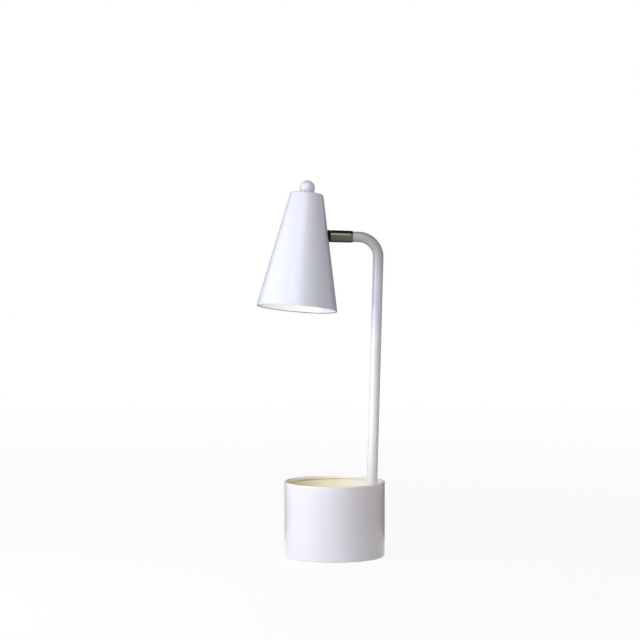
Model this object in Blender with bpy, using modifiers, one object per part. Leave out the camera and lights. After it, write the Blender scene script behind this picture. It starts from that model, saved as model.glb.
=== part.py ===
# Desk lamp with a pen cup for a base: a bent tube stands in the cup and carries
# a cone shade on a friction swivel.
# Metres, +Z up. Origin on the table under the cup's axis, +X towards the post,
# -Y towards the person who uses the lamp.

import math

import bmesh
import bpy
from mathutils import Vector

# Clearances
seat_gap = 0.0003           # between pieces that rest on each other
slip_gap = 0.00025          # radial, round a piece that sits in a hole
running_gap = 0.0002        # radial, round the stem where it turns
overrun = 0.003             # how far a cutter runs past what it cuts

# Cup
cup_radius = 0.060
cup_height = 0.090
cup_wall = 0.0008
cup_hem_depth = 0.004       # how far the folded rim comes down inside
cup_hem_slit = 0.0003
cup_edge_radius = 0.0016
cup_foot_lift = 0.0004      # the pad carries the lamp, not the steel foot ring
cup_foot_width = 0.0055
cup_press_radius = 0.0007   # inner bends of the pressed foot
cup_flange_width = 0.004
cup_insert_gap = 0.0005     # round what is dropped in through the rim

# Pad and bottom plate
pad_thickness = 0.0015
pad_margin = 0.0015
plate_thickness = 0.001
plate_side_gap = 0.0005

# Weight and the floor over it
weight_thickness = 0.016
weight_edge_radius = 0.0012
weight_web = 0.006          # iron left above the nut recess
recess_margin = 0.0015
channel_width = 0.008
channel_depth = 0.0105
floor_wall = 0.0008
floor_skirt = 0.005
floor_edge_radius = 0.0012

# Cover screws
cover_screw_inset = 0.020   # from the cup's outside
cover_screw_radius = 0.0019
cover_screw_length = 0.013
cover_head_radius = 0.0036
cover_head_height = 0.0011
cover_head_access = 0.0014  # radial, room in the pad round a head
cover_screw_angles = (math.radians(60), math.radians(180), math.radians(300))

# Cord inlet
grommet_bore_radius = 0.003
grommet_neck_radius = 0.005
grommet_lip_radius = 0.0068
grommet_lip_thickness = 0.0014
grommet_lip_fillet = 0.0005
grommet_pocket_gap = 0.0006

# Post foot
post_inset = 0.0165         # from the cup's outside to the tube's axis
foot_flange_radius = 0.0095
foot_flange_thickness = 0.003
foot_flange_fillet = 0.0008
foot_spigot_length = 0.012
foot_thread_radius = 0.0049
foot_bore_radius = 0.0028
foot_thread_tail = 0.0015
foot_washer_radius = 0.010
foot_washer_thickness = 0.0012
foot_nut_flats = 0.014
foot_nut_thickness = 0.006

# Arm tube
tube_radius = 0.00625
tube_wall = 0.001
tube_upright = 0.014        # straight length on the foot before the tube leans
arm_lean = math.radians(1.5)
arm_height = 0.3814         # of the corner that the bend rounds off
arm_bend_radius = 0.024
arm_reach = 0.0574          # from that corner to the sleeve's front face

# Swivel sleeve
sleeve_radius = 0.0072
sleeve_rear_radius = 0.00705
sleeve_length = 0.0264
sleeve_front_fillet = 0.0005
sleeve_rear_fillet = 0.0004
sleeve_front_bore = 0.008
socket_depth = 0.012
bush_length = 0.0058
bush_wall = 0.0008
bush_slit = 0.0008

# Stop screw
stop_screw_setback = 0.0044  # from the sleeve's front face
stop_screw_radius = 0.0021
stop_screw_recess = 0.0002
stop_screw_drop = math.radians(6.6)
stop_point_radius = 0.0008
stop_key_flats = 0.0013
stop_key_depth = 0.001

# Stem through the shade's wall
stem_radius = 0.0048
stem_bore_radius = 0.0026
stem_journal = 0.013
stem_fillet = 0.0003
stop_groove_radius = 0.0011
stop_groove_gap = 0.0003     # between the point's end and the groove's bottom
swivel_stop = math.radians(120)
swivel_rest = math.radians(8.4)
outer_seat_thickness = 0.0022
inner_seat_radius = 0.008
inner_seat_thickness = 0.0035
stem_washer_radius = 0.0075
stem_washer_thickness = 0.001
stem_nut_flats = 0.014
stem_nut_thickness = 0.0045
stem_tail = 0.0008

# Shade
shade_height = 0.138
shade_top_radius = 0.01965
shade_rim_radius = 0.0482
shade_wall = 0.0008
shade_shoulder = 0.0018
shade_droop = math.radians(3.4)   # off square to the arm's end
stem_drop = 0.0503                # from the shade's top down to the arm's axis
shade_hole_gap = 0.0005

# Ball on the shade's top
ball_radius = 0.0092
ball_base_radius = 0.0066
ball_thread_depth = 0.008
nipple_radius = 0.0039
nipple_bore_radius = 0.0025
top_washer_radius = 0.009
top_washer_thickness = 0.001

# Lampholder
cap_neck_radius = 0.0068
cap_neck_height = 0.004
cap_thread_depth = 0.0075
cap_radius = 0.0132
cap_height = 0.0155
cap_wall = 0.0016
cap_shoulder_fillet = 0.004
holder_radius = 0.0142
holder_overlap = 0.0026
holder_height = 0.028
holder_bore_radius = 0.0102
holder_lip_radius = 0.0126
holder_taper_height = 0.005
holder_fillet = 0.0006
insert_thickness = 0.003
insert_boss_height = 0.0035
shell_radius = 0.00715
shell_wall = 0.00045
shell_flange_radius = 0.0092
shell_length = 0.0155
contact_radius = 0.0022
contact_height = 0.002

# Bulb
bulb_tip_radius = 0.0024
bulb_tip_height = 0.001
bulb_cone_height = 0.0022
bulb_thread_radius = 0.0068
bulb_thread_wall = 0.0004
bulb_collar_radius = 0.0078
bulb_cap_height = 0.020
globe_radius = 0.0225
glass_wall = 0.0007
glass_neck_radius = 0.0061
glass_neck_depth = 0.006     # how far the glass stands in its cap
glass_neck_length = 0.004    # how far under the cap the neck is still narrow
glass_flare_radius = 0.016   # of the arc from the neck to the globe

# Lead from the stem to the lampholder
lead_radius = 0.0014
lead_in_stem = 0.004
lead_side_gap = 0.0006
lead_bend_radius = 0.003
lead_inlet_gap = 0.0005
lead_tail_gap = 0.004        # from the nipple to the lead's end inside the cap

# Smoothness of curves
cup_sides = 44
shade_sides = 44
turned_sides = 22
small_sides = 16
tube_half_sides = 8
groove_half_sides = 2
lead_half_sides = 3
bend_steps = 9
ball_steps = 10
flare_steps = 4
globe_steps = 8
groove_steps = 16
hex_sides = 6
coarse_step = math.radians(45)    # of arc, on small fillets
fine_step = math.radians(18)
fine_from_radius = 0.0025
sharp_angle = math.radians(35)
same_point = 0.000001

# Finishes: colour, roughness, metallic
white_paint = ((0.90, 0.90, 0.93), 0.30, 0.0)
grey_white_paint = ((0.72, 0.73, 0.75), 0.32, 0.0)
dark_nickel = ((0.16, 0.155, 0.14), 0.28, 1.0)
black_plastic = ((0.02, 0.02, 0.02), 0.50, 0.0)
zinc = ((0.55, 0.56, 0.58), 0.35, 1.0)
cast_iron = ((0.06, 0.06, 0.065), 0.70, 0.6)
brass = ((0.60, 0.44, 0.18), 0.32, 1.0)
grey_felt = ((0.10, 0.10, 0.11), 0.95, 0.0)
porcelain = ((0.82, 0.80, 0.75), 0.25, 0.0)
nylon = ((0.75, 0.74, 0.68), 0.45, 0.0)
aluminium = ((0.75, 0.75, 0.76), 0.30, 1.0)
opal_glass = ((0.95, 0.95, 0.93), 0.12, 0.0)
white_sleeving = ((0.80, 0.79, 0.75), 0.60, 0.0)


def fresh_scene():
    for obj in list(bpy.data.objects):
        bpy.data.objects.remove(obj, do_unlink=True)


def new_collection(name):
    collection = bpy.data.collections.new(name)
    bpy.context.scene.collection.children.link(collection)
    return collection


def new_empty(name, parent, location=(0, 0, 0), rotation=(0, 0, 0)):
    empty = bpy.data.objects.new(name, None)
    lamp_parts.objects.link(empty)
    empty.parent = parent
    empty.location = location
    empty.rotation_euler = rotation
    return empty


def paint(obj, finish):
    colour, roughness, metallic = finish
    material = bpy.data.materials.new(obj.name)
    material.use_nodes = True
    shader = material.node_tree.nodes["Principled BSDF"]
    shader.inputs["Base Color"].default_value = (*colour, 1)
    shader.inputs["Roughness"].default_value = roughness
    shader.inputs["Metallic"].default_value = metallic
    obj.data.materials.clear()
    obj.data.materials.append(material)


def add_part(name, mesh, finish, parent=None, location=(0, 0, 0), rotation=(0, 0, 0)):
    obj = bpy.data.objects.new(name, mesh)
    lamp_parts.objects.link(obj)
    obj.parent = parent
    obj.location = location
    obj.rotation_euler = rotation
    paint(obj, finish)
    return obj


def add_cutter(name, mesh, parent=None, location=(0, 0, 0), rotation=(0, 0, 0)):
    obj = bpy.data.objects.new(name, mesh)
    cutters.objects.link(obj)
    obj.parent = parent
    obj.location = location
    obj.rotation_euler = rotation
    obj.display_type = "WIRE"
    obj.hide_render = True
    return obj


def cut(obj, cutter, operation="DIFFERENCE"):
    boolean = obj.modifiers.new(cutter.name, "BOOLEAN")
    boolean.operation = operation
    boolean.object = cutter
    boolean.solver = "EXACT"


def filleted(corners, closed):
    """Points of an outline whose corners (x, z, fillet radius) are rounded off by arcs."""
    points = []
    count = len(corners)
    for index, (x, z, radius) in enumerate(corners):
        corner = Vector((x, z))
        is_end = not closed and index in (0, count - 1)
        if radius == 0 or is_end:
            points.append(corner)
            continue
        before = Vector(corners[index - 1][:2]) - corner
        after = Vector(corners[(index + 1) % count][:2]) - corner
        half_angle = before.angle(after) / 2
        tangent = radius / math.tan(half_angle)
        bisector = (before.normalized() + after.normalized()).normalized()
        centre = corner + bisector * (radius / math.sin(half_angle))
        start = corner + before.normalized() * tangent - centre
        sweep = start.angle_signed(corner + after.normalized() * tangent - centre)
        step_angle = fine_step if radius > fine_from_radius else coarse_step
        steps = max(2, round(abs(sweep) / step_angle))
        for step in range(steps + 1):
            angle = -sweep * step / steps
            turned = Vector((start.x * math.cos(angle) - start.y * math.sin(angle),
                             start.x * math.sin(angle) + start.y * math.cos(angle)))
            points.append(centre + turned)
    kept = points[:1]
    for point in points[1:]:
        if (point - kept[-1]).length > same_point:
            kept.append(point)
    return kept


def baked(obj):
    """The object's shape with its modifiers as a plain mesh."""
    depsgraph = bpy.context.evaluated_depsgraph_get()
    mesh = bpy.data.meshes.new_from_object(obj.evaluated_get(depsgraph))
    mesh.name = obj.name
    bpy.data.objects.remove(obj, do_unlink=True)
    mesh.shade_smooth()
    mesh.set_sharp_from_angle(angle=sharp_angle)
    return mesh


def turned_mesh(name, corners, closed=False, sides=turned_sides, wall=0):
    """A profile swept round Z; with a wall it is a shell, thickened inwards."""
    points = filleted(corners, closed)
    profile = bpy.data.meshes.new(name)
    last = len(points) - 1
    edges = [(index, index + 1) for index in range(last)]
    if closed:
        edges.append((last, 0))
    profile.from_pydata([(point.x, 0, point.y) for point in points], edges, [])
    obj = bpy.data.objects.new(name, profile)
    cutters.objects.link(obj)
    screw = obj.modifiers.new("turn", "SCREW")
    screw.steps = sides
    screw.render_steps = sides
    screw.use_merge_vertices = True
    screw.merge_threshold = same_point
    screw.use_smooth_shade = True
    if wall:
        shell = obj.modifiers.new("wall", "SOLIDIFY")
        shell.thickness = wall
        shell.offset = -1
        shell.use_even_offset = True
    bpy.context.view_layer.update()
    return baked(obj)


def disc_corners(radius, top, bottom, top_fillet=0, bottom_fillet=0):
    """A solid disc's profile, from its axis over the top edge and back to the axis."""
    return [(0, top, 0), (radius, top, top_fillet), (radius, bottom, bottom_fillet), (0, bottom, 0)]


def ring_corners(inner, outer, top, bottom, fillet=0):
    """A flat ring's closed profile."""
    return [(inner, top, 0), (outer, top, fillet), (outer, bottom, fillet), (inner, bottom, 0)]


def prism_mesh(name, radius, low, high, sides):
    """A straight prism or cylinder along Z."""
    shape = bmesh.new()
    bmesh.ops.create_cone(shape, cap_ends=True, segments=sides,
                          radius1=radius, radius2=radius, depth=high - low)
    bmesh.ops.translate(shape, verts=shape.verts, vec=(0, 0, (high + low) / 2))
    mesh = bpy.data.meshes.new(name)
    shape.to_mesh(mesh)
    shape.free()
    return mesh


def box_mesh(name, low, high):
    size = [b - a for a, b in zip(low, high)]
    centre = [(a + b) / 2 for a, b in zip(low, high)]
    shape = bmesh.new()
    bmesh.ops.create_cube(shape, size=1)
    bmesh.ops.scale(shape, verts=shape.verts, vec=size)
    bmesh.ops.translate(shape, verts=shape.verts, vec=centre)
    mesh = bpy.data.meshes.new(name)
    shape.to_mesh(mesh)
    shape.free()
    return mesh


def bar_mesh(name, points, radius, half_sides, capped=True, wall=0):
    """A round bar along points, or an open-ended tube when it has a wall."""
    curve = bpy.data.curves.new(name, "CURVE")
    curve.dimensions = "3D"
    curve.bevel_depth = radius
    curve.bevel_resolution = half_sides
    curve.use_fill_caps = capped
    spline = curve.splines.new("POLY")
    spline.points.add(len(points) - 1)
    for spot, point in zip(spline.points, points):
        spot.co = (*point, 1)
    obj = bpy.data.objects.new(name, curve)
    cutters.objects.link(obj)
    bpy.context.view_layer.update()
    mesh = baked(obj)
    shape = bmesh.new()
    shape.from_mesh(mesh)
    bmesh.ops.remove_doubles(shape, verts=shape.verts, dist=same_point)
    bmesh.ops.recalc_face_normals(shape, faces=shape.faces)
    if wall:
        bmesh.ops.solidify(shape, geom=shape.faces, thickness=wall)
    shape.to_mesh(mesh)
    shape.free()
    return mesh


def hex_nut_mesh(name, flats, thickness):
    corner_radius = flats / 2 / math.cos(math.pi / hex_sides)
    return prism_mesh(name, corner_radius, 0, thickness, hex_sides)


# Places that follow from the sizes above
cup_hem_radius = cup_wall + cup_hem_slit / 2
cup_mouth_radius = cup_radius - 2 * cup_hem_radius
foot_inner_radius = cup_radius - cup_foot_width
flange_inner_radius = foot_inner_radius - cup_flange_width
plate_radius = foot_inner_radius - plate_side_gap
pad_radius = plate_radius - pad_margin
cover_screw_circle = cup_radius - cover_screw_inset
post_offset = cup_radius - post_inset
plate_bottom = pad_thickness + seat_gap
plate_top = plate_bottom + plate_thickness
flange_bottom = plate_top + seat_gap
weight_bottom = flange_bottom + cup_wall + seat_gap
weight_top = weight_bottom + weight_thickness
floor_radius = cup_mouth_radius - cup_insert_gap
floor_top = weight_top + seat_gap + floor_wall
weight_radius = floor_radius - floor_wall - seat_gap
recess_radius = foot_washer_radius + recess_margin
recess_top = weight_top - weight_web
inlet_height = weight_bottom + channel_depth / 2
foot_bottom = floor_top + seat_gap
foot_top = foot_bottom + foot_flange_thickness
tube_bottom = foot_top + seat_gap
washer_top = recess_top - seat_gap
washer_bottom = washer_top - foot_washer_thickness
nut_top = washer_bottom - seat_gap
foot_thread_end = nut_top - foot_nut_thickness - foot_thread_tail
foot_hole_radius = foot_thread_radius + slip_gap

lean_start = tube_bottom + tube_upright
post_run = (arm_height - lean_start) / math.cos(arm_lean)
corner_x = post_offset + post_run * math.sin(arm_lean)
arm_end_x = corner_x - arm_reach * math.cos(arm_lean)
arm_end_z = arm_height + arm_reach * math.sin(arm_lean)

stem_hole_radius = stem_radius + slip_gap
front_bore_radius = stem_radius + running_gap
bush_pocket_radius = front_bore_radius + bush_wall + running_gap
socket_radius = tube_radius + slip_gap
tube_stop = sleeve_length - socket_depth
stop_screw_angle = -math.pi / 2 - stop_screw_drop

shade_slope = (shade_rim_radius - shade_top_radius) / shade_height
shade_half_angle = math.atan(shade_slope)
wall_reach = ((shade_top_radius + stem_drop * shade_slope)
              / (math.cos(shade_droop) + math.sin(shade_droop) * shade_slope))
wall_outside = outer_seat_thickness + 2 * seat_gap
shade_axis_offset = wall_outside + wall_reach
wall_along_stem = shade_wall / math.cos(shade_half_angle - shade_droop)
inner_seat_end = wall_outside + wall_along_stem + seat_gap + inner_seat_thickness
stem_washer_start = inner_seat_end + seat_gap
stem_nut_start = stem_washer_start + stem_washer_thickness + seat_gap
stem_end = stem_nut_start + stem_nut_thickness + stem_tail

# Heights in the shade's own frame: zero where the arm's axis crosses the shade's
shade_top = stem_drop
shade_rim = shade_top - shade_height
ball_bottom = shade_top + seat_gap
ball_centre = ball_bottom + math.sqrt(ball_radius ** 2 - ball_base_radius ** 2)
top_washer_top = shade_top - shade_wall - seat_gap
cap_top = top_washer_top - top_washer_thickness - seat_gap
cap_bottom = cap_top - cap_height
insert_top = cap_bottom - seat_gap
insert_bottom = insert_top - insert_thickness
holder_top = cap_bottom + holder_overlap
holder_ledge = insert_bottom - seat_gap
holder_bottom = holder_top - holder_height
boss_bottom = insert_bottom - insert_boss_height
shell_top = boss_bottom - seat_gap
bulb_tip = boss_bottom - contact_height - seat_gap
bulb_cap_bottom = bulb_tip - bulb_cap_height
neck_end = bulb_cap_bottom - glass_neck_length
flare_centre_x = glass_neck_radius + glass_flare_radius
globe_centre = neck_end - math.sqrt((globe_radius + glass_flare_radius) ** 2 - flare_centre_x ** 2)
flare_angle = math.atan2(flare_centre_x, neck_end - globe_centre)
lead_stand = holder_radius + lead_side_gap + lead_radius
lead_inlet = holder_top + lead_radius + lead_side_gap + lead_bend_radius / 2

fresh_scene()
lamp_parts = new_collection("desk_lamp_with_pen_holder")
cutters = new_collection("cutters")

# Frames: the arm's end looks along the arm's axis towards the shade, with its X up.
# The swivel turns about that axis, and the shade's frame has Z along the cone.
arm_end = new_empty("arm_end", None, (arm_end_x, 0, arm_end_z), (0, arm_lean - math.pi / 2, 0))
swivel = new_empty("swivel", arm_end, rotation=(0, 0, swivel_rest))
shade_frame = new_empty("shade_frame", swivel, (0, 0, shade_axis_offset),
                        (0, math.pi / 2 + shade_droop, 0))


def around_cup(distance, angle, height=0):
    return (distance * math.cos(angle), distance * math.sin(angle), height)


def make_base_pad():
    mesh = turned_mesh("base_pad", disc_corners(pad_radius, pad_thickness, 0), sides=cup_sides)
    pad = add_part("base_pad", mesh, grey_felt)
    hole = prism_mesh("pad_hole", cover_head_radius + cover_head_access,
                      -overrun, pad_thickness + overrun, small_sides)
    for angle in cover_screw_angles:
        cut(pad, add_cutter("pad_hole", hole, location=around_cup(cover_screw_circle, angle)))


def make_bottom_plate():
    mesh = turned_mesh("bottom_plate", disc_corners(plate_radius, plate_top, plate_bottom),
                       sides=cup_sides)
    plate = add_part("bottom_plate", mesh, zinc)
    hole = prism_mesh("plate_hole", cover_screw_radius + slip_gap,
                      plate_bottom - overrun, plate_top + overrun, small_sides)
    for angle in cover_screw_angles:
        cut(plate, add_cutter("plate_hole", hole, location=around_cup(cover_screw_circle, angle)))


def make_cover_screws():
    head_top = plate_bottom - seat_gap
    head_bottom = head_top - cover_head_height
    corners = [
        (0, head_top + cover_screw_length, 0),
        (cover_screw_radius, head_top + cover_screw_length, 0),
        (cover_screw_radius, head_top, 0),
        (cover_head_radius, head_top, 0),
        (cover_head_radius, head_bottom, cover_head_height / 2),
        (0, head_bottom, 0),
    ]
    mesh = turned_mesh("cover_screw", corners, sides=small_sides)
    for number, angle in enumerate(cover_screw_angles, start=1):
        add_part(f"cover_screw_{number}", mesh.copy(), zinc,
                 location=around_cup(cover_screw_circle, angle))


def make_base_weight():
    corners = disc_corners(weight_radius, weight_top, weight_bottom,
                           weight_edge_radius, weight_edge_radius)
    weight = add_part("base_weight", turned_mesh("base_weight", corners, sides=cup_sides),
                      cast_iron)
    recess = prism_mesh("nut_recess", recess_radius, weight_bottom - overrun, recess_top,
                        turned_sides)
    cut(weight, add_cutter("nut_recess", recess, location=(post_offset, 0, 0)))
    hole = prism_mesh("foot_hole", foot_hole_radius, weight_bottom, weight_top + overrun,
                      small_sides)
    cut(weight, add_cutter("foot_hole", hole, location=(post_offset, 0, 0)))
    half = channel_width / 2
    channel_top = weight_bottom + channel_depth
    inwards = box_mesh("channel_inwards", (-half, -half, weight_bottom - overrun),
                       (half, weight_radius + overrun, channel_top))
    cut(weight, add_cutter("channel_inwards", inwards))
    across = box_mesh("channel_across", (-half, -half, weight_bottom - overrun),
                      (post_offset, half, channel_top))
    cut(weight, add_cutter("channel_across", across))
    pocket_half = grommet_lip_radius + grommet_pocket_gap
    pocket_start = grommet_inner_face() - grommet_lip_thickness - grommet_pocket_gap
    pocket = box_mesh("grommet_pocket", (-pocket_half, pocket_start, weight_bottom - overrun),
                      (pocket_half, weight_radius + overrun, inlet_height + pocket_half))
    cut(weight, add_cutter("grommet_pocket", pocket))
    screw_hole = prism_mesh("blind_hole", cover_screw_radius + slip_gap, weight_bottom - overrun,
                            plate_bottom + cover_screw_length + seat_gap, small_sides)
    for angle in cover_screw_angles:
        cut(weight, add_cutter("blind_hole", screw_hole,
                               location=around_cup(cover_screw_circle, angle)))


def make_cup_shell():
    hem_leg_radius = cup_radius - 2 * cup_hem_radius
    corners = [
        (hem_leg_radius, cup_height - cup_hem_depth, 0),
        (hem_leg_radius, cup_height, cup_hem_radius),
        (cup_radius, cup_height, cup_hem_radius),
        (cup_radius, cup_foot_lift, cup_edge_radius),
        (foot_inner_radius, cup_foot_lift, cup_press_radius),
        (foot_inner_radius, flange_bottom, cup_press_radius),
        (flange_inner_radius, flange_bottom, 0),
    ]
    mesh = turned_mesh("cup_shell", corners, sides=cup_sides, wall=cup_wall)
    shell = add_part("cup_shell", mesh, white_paint)
    hole = prism_mesh("inlet_hole", grommet_neck_radius + slip_gap,
                      -cup_wall - overrun, overrun, small_sides)
    cut(shell, add_cutter("inlet_hole", hole, location=(0, cup_radius, inlet_height),
                          rotation=(-math.pi / 2, 0, 0)))


def grommet_inner_face():
    """Where the inner lip bears: on the wall's inside, which curves towards the lip's edge."""
    inside = cup_radius - cup_wall
    return math.sqrt(inside ** 2 - grommet_lip_radius ** 2) - seat_gap


def make_cord_grommet():
    inner = grommet_inner_face()
    outer = cup_radius + seat_gap
    corners = [
        (grommet_bore_radius, outer + grommet_lip_thickness, 0),
        (grommet_lip_radius, outer + grommet_lip_thickness, grommet_lip_fillet),
        (grommet_lip_radius, outer, 0),
        (grommet_neck_radius, outer, 0),
        (grommet_neck_radius, inner, 0),
        (grommet_lip_radius, inner, 0),
        (grommet_lip_radius, inner - grommet_lip_thickness, grommet_lip_fillet),
        (grommet_bore_radius, inner - grommet_lip_thickness, 0),
    ]
    mesh = turned_mesh("cord_grommet", corners, closed=True, sides=small_sides)
    add_part("cord_grommet", mesh, black_plastic, location=(0, 0, inlet_height),
             rotation=(-math.pi / 2, 0, 0))


def make_cup_floor():
    corners = [
        (0, floor_top, 0),
        (floor_radius, floor_top, floor_edge_radius),
        (floor_radius, floor_top - floor_skirt, 0),
    ]
    mesh = turned_mesh("cup_floor", corners, sides=cup_sides, wall=floor_wall)
    floor = add_part("cup_floor", mesh, white_paint)
    hole = prism_mesh("floor_hole", foot_hole_radius, floor_top - floor_wall - overrun,
                      floor_top + overrun, small_sides)
    cut(floor, add_cutter("floor_hole", hole, location=(post_offset, 0, 0)))


def make_post_foot():
    spigot_radius = tube_radius - tube_wall - slip_gap
    corners = [
        (foot_bore_radius, foot_top + foot_spigot_length, 0),
        (spigot_radius, foot_top + foot_spigot_length, foot_flange_fillet),
        (spigot_radius, foot_top, 0),
        (foot_flange_radius, foot_top, foot_flange_fillet),
        (foot_flange_radius, foot_bottom, 0),
        (foot_thread_radius, foot_bottom, 0),
        (foot_thread_radius, foot_thread_end, 0),
        (foot_bore_radius, foot_thread_end, 0),
    ]
    mesh = turned_mesh("post_foot", corners, closed=True, sides=small_sides)
    add_part("post_foot", mesh, white_paint, location=(post_offset, 0, 0))


def make_foot_washer():
    corners = ring_corners(foot_hole_radius, foot_washer_radius, washer_top, washer_bottom)
    mesh = turned_mesh("foot_washer", corners, closed=True, sides=small_sides)
    add_part("foot_washer", mesh, zinc, location=(post_offset, 0, 0))


def make_foot_nut():
    mesh = hex_nut_mesh("foot_nut", foot_nut_flats, foot_nut_thickness)
    nut = add_part("foot_nut", mesh, zinc, location=(post_offset, 0, nut_top - foot_nut_thickness))
    bore = prism_mesh("foot_nut_bore", foot_hole_radius, -overrun, foot_nut_thickness + overrun,
                      small_sides)
    cut(nut, add_cutter("foot_nut_bore", bore, nut))


def arm_points():
    """The tube's centre line: upright on its foot, then leaning, bent and out to the sleeve."""
    up = Vector((math.sin(arm_lean), 0, math.cos(arm_lean)))
    out = Vector((-math.cos(arm_lean), 0, math.sin(arm_lean)))
    foot = Vector((post_offset, 0, tube_bottom))
    kink = Vector((post_offset, 0, lean_start))
    corner = Vector((corner_x, 0, arm_height))
    centre = corner - up * arm_bend_radius + out * arm_bend_radius
    points = [foot, kink]
    for step in range(bend_steps + 1):
        angle = math.pi / 2 * step / bend_steps
        points.append(centre - out * arm_bend_radius * math.cos(angle)
                      + up * arm_bend_radius * math.sin(angle))
    points.append(corner + out * (arm_reach - tube_stop - seat_gap))
    return points


def make_arm_tube():
    mesh = bar_mesh("arm_tube", arm_points(), tube_radius, tube_half_sides, capped=False,
                    wall=tube_wall)
    add_part("arm_tube", mesh, grey_white_paint)


def screw_direction(angle):
    """Unit vector square to the arm's axis, in the arm end's frame."""
    return Vector((math.cos(angle), math.sin(angle), 0))


def make_swivel_sleeve():
    corners = [
        (front_bore_radius, 0, 0),
        (sleeve_radius, 0, sleeve_front_fillet),
        (sleeve_rear_radius, -sleeve_length, sleeve_rear_fillet),
        (socket_radius, -sleeve_length, 0),
        (socket_radius, -tube_stop, 0),
        (bush_pocket_radius, -tube_stop, 0),
        (bush_pocket_radius, -sleeve_front_bore, 0),
        (front_bore_radius, -sleeve_front_bore, 0),
    ]
    mesh = turned_mesh("swivel_sleeve", corners, closed=True)
    sleeve = add_part("swivel_sleeve", mesh, dark_nickel, arm_end)
    hole = prism_mesh("stop_screw_hole", stop_screw_radius + slip_gap,
                      stem_bore_radius, sleeve_radius + overrun, small_sides)
    cut(sleeve, add_cutter("stop_screw_hole", hole, arm_end, (0, 0, -stop_screw_setback),
                           (0, math.pi / 2, stop_screw_angle)))


def make_friction_bush():
    start = -sleeve_front_bore - seat_gap
    corners = ring_corners(front_bore_radius, front_bore_radius + bush_wall,
                           start, start - bush_length)
    mesh = turned_mesh("friction_bush", corners, closed=True, sides=small_sides)
    bush = add_part("friction_bush", mesh, nylon, arm_end)
    slit = box_mesh("bush_slit", (0, -bush_slit / 2, start - bush_length - overrun),
                    (bush_pocket_radius + overrun, bush_slit / 2, start + overrun))
    cut(bush, add_cutter("bush_slit", slit, arm_end))


def make_stop_screw():
    """Along its own Z, which points out of the sleeve."""
    outer = sleeve_radius - stop_screw_recess
    inner = stem_radius + running_gap
    point_end = stem_radius - stop_groove_radius + stop_groove_gap
    corners = [
        (0, outer, 0),
        (stop_screw_radius, outer, 0),
        (stop_screw_radius, inner, 0),
        (stop_point_radius, inner, 0),
        (stop_point_radius, point_end, 0),
        (0, point_end, 0),
    ]
    mesh = turned_mesh("stop_screw", corners, sides=small_sides)
    screw = add_part("stop_screw", mesh, zinc, arm_end, (0, 0, -stop_screw_setback),
                     (0, math.pi / 2, stop_screw_angle))
    key_radius = stop_key_flats / 2 / math.cos(math.pi / hex_sides)
    key = prism_mesh("stop_key", key_radius, outer - stop_key_depth, outer + overrun, hex_sides)
    cut(screw, add_cutter("stop_key", key, screw))


def make_head_stem():
    corners = [
        (stem_bore_radius, stem_end, 0),
        (stem_radius, stem_end, stem_fillet),
        (stem_radius, -stem_journal, stem_fillet),
        (stem_bore_radius, -stem_journal, 0),
    ]
    mesh = turned_mesh("head_stem", corners, closed=True)
    stem = add_part("head_stem", mesh, zinc, swivel)
    point_half_angle = math.asin((stop_point_radius + running_gap) / stem_radius)
    half_sweep = swivel_stop + point_half_angle
    points = []
    for step in range(groove_steps + 1):
        angle = stop_screw_angle + half_sweep * (2 * step / groove_steps - 1)
        points.append(screw_direction(angle) * stem_radius)
    groove = bar_mesh("stop_groove", points, stop_groove_radius, groove_half_sides)
    cut(stem, add_cutter("stop_groove", groove, swivel, (0, 0, -stop_screw_setback)))


def cone_block(name, offset):
    """The solid that the shade's outer skin encloses, grown by an offset square to the wall."""
    sideways = offset / math.cos(shade_half_angle)
    beyond = overrun * shade_slope
    corners = [
        (0, shade_top + overrun, 0),
        (shade_top_radius + sideways - beyond, shade_top + overrun, 0),
        (shade_rim_radius + sideways + beyond, shade_rim - overrun, 0),
        (0, shade_rim - overrun, 0),
    ]
    mesh = turned_mesh(name, corners, sides=shade_sides)
    return add_cutter(name, mesh, shade_frame)


def make_outer_seat():
    corners = ring_corners(stem_hole_radius, sleeve_radius, outer_seat_thickness + sleeve_radius,
                           seat_gap)
    seat = add_part("outer_seat", turned_mesh("outer_seat", corners, closed=True),
                    black_plastic, swivel)
    cut(seat, cone_block("cone_outside", seat_gap))


def make_inner_seat():
    corners = ring_corners(stem_hole_radius, inner_seat_radius, inner_seat_end,
                           wall_outside - inner_seat_radius)
    seat = add_part("inner_seat", turned_mesh("inner_seat", corners, closed=True),
                    black_plastic, swivel)
    cut(seat, cone_block("cone_inside", -shade_wall - seat_gap), "INTERSECT")


def make_stem_washer():
    corners = ring_corners(stem_hole_radius, stem_washer_radius,
                           stem_washer_start + stem_washer_thickness, stem_washer_start)
    mesh = turned_mesh("stem_washer", corners, closed=True, sides=small_sides)
    add_part("stem_washer", mesh, zinc, swivel)


def make_stem_nut():
    mesh = hex_nut_mesh("stem_nut", stem_nut_flats, stem_nut_thickness)
    nut = add_part("stem_nut", mesh, zinc, swivel, (0, 0, stem_nut_start))
    bore = prism_mesh("stem_nut_bore", stem_hole_radius, -overrun, stem_nut_thickness + overrun,
                      small_sides)
    cut(nut, add_cutter("stem_nut_bore", bore, nut))


def make_shade():
    corners = [
        (nipple_radius + slip_gap, shade_top, 0),
        (shade_top_radius, shade_top, shade_shoulder),
        (shade_rim_radius, shade_rim, 0),
    ]
    mesh = turned_mesh("shade", corners, sides=shade_sides, wall=shade_wall)
    shade = add_part("shade", mesh, white_paint, shade_frame)
    hole = prism_mesh("stem_hole", stem_hole_radius + shade_hole_gap, seat_gap,
                      inner_seat_end + overrun, small_sides)
    cut(shade, add_cutter("stem_hole", hole, swivel))


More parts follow.
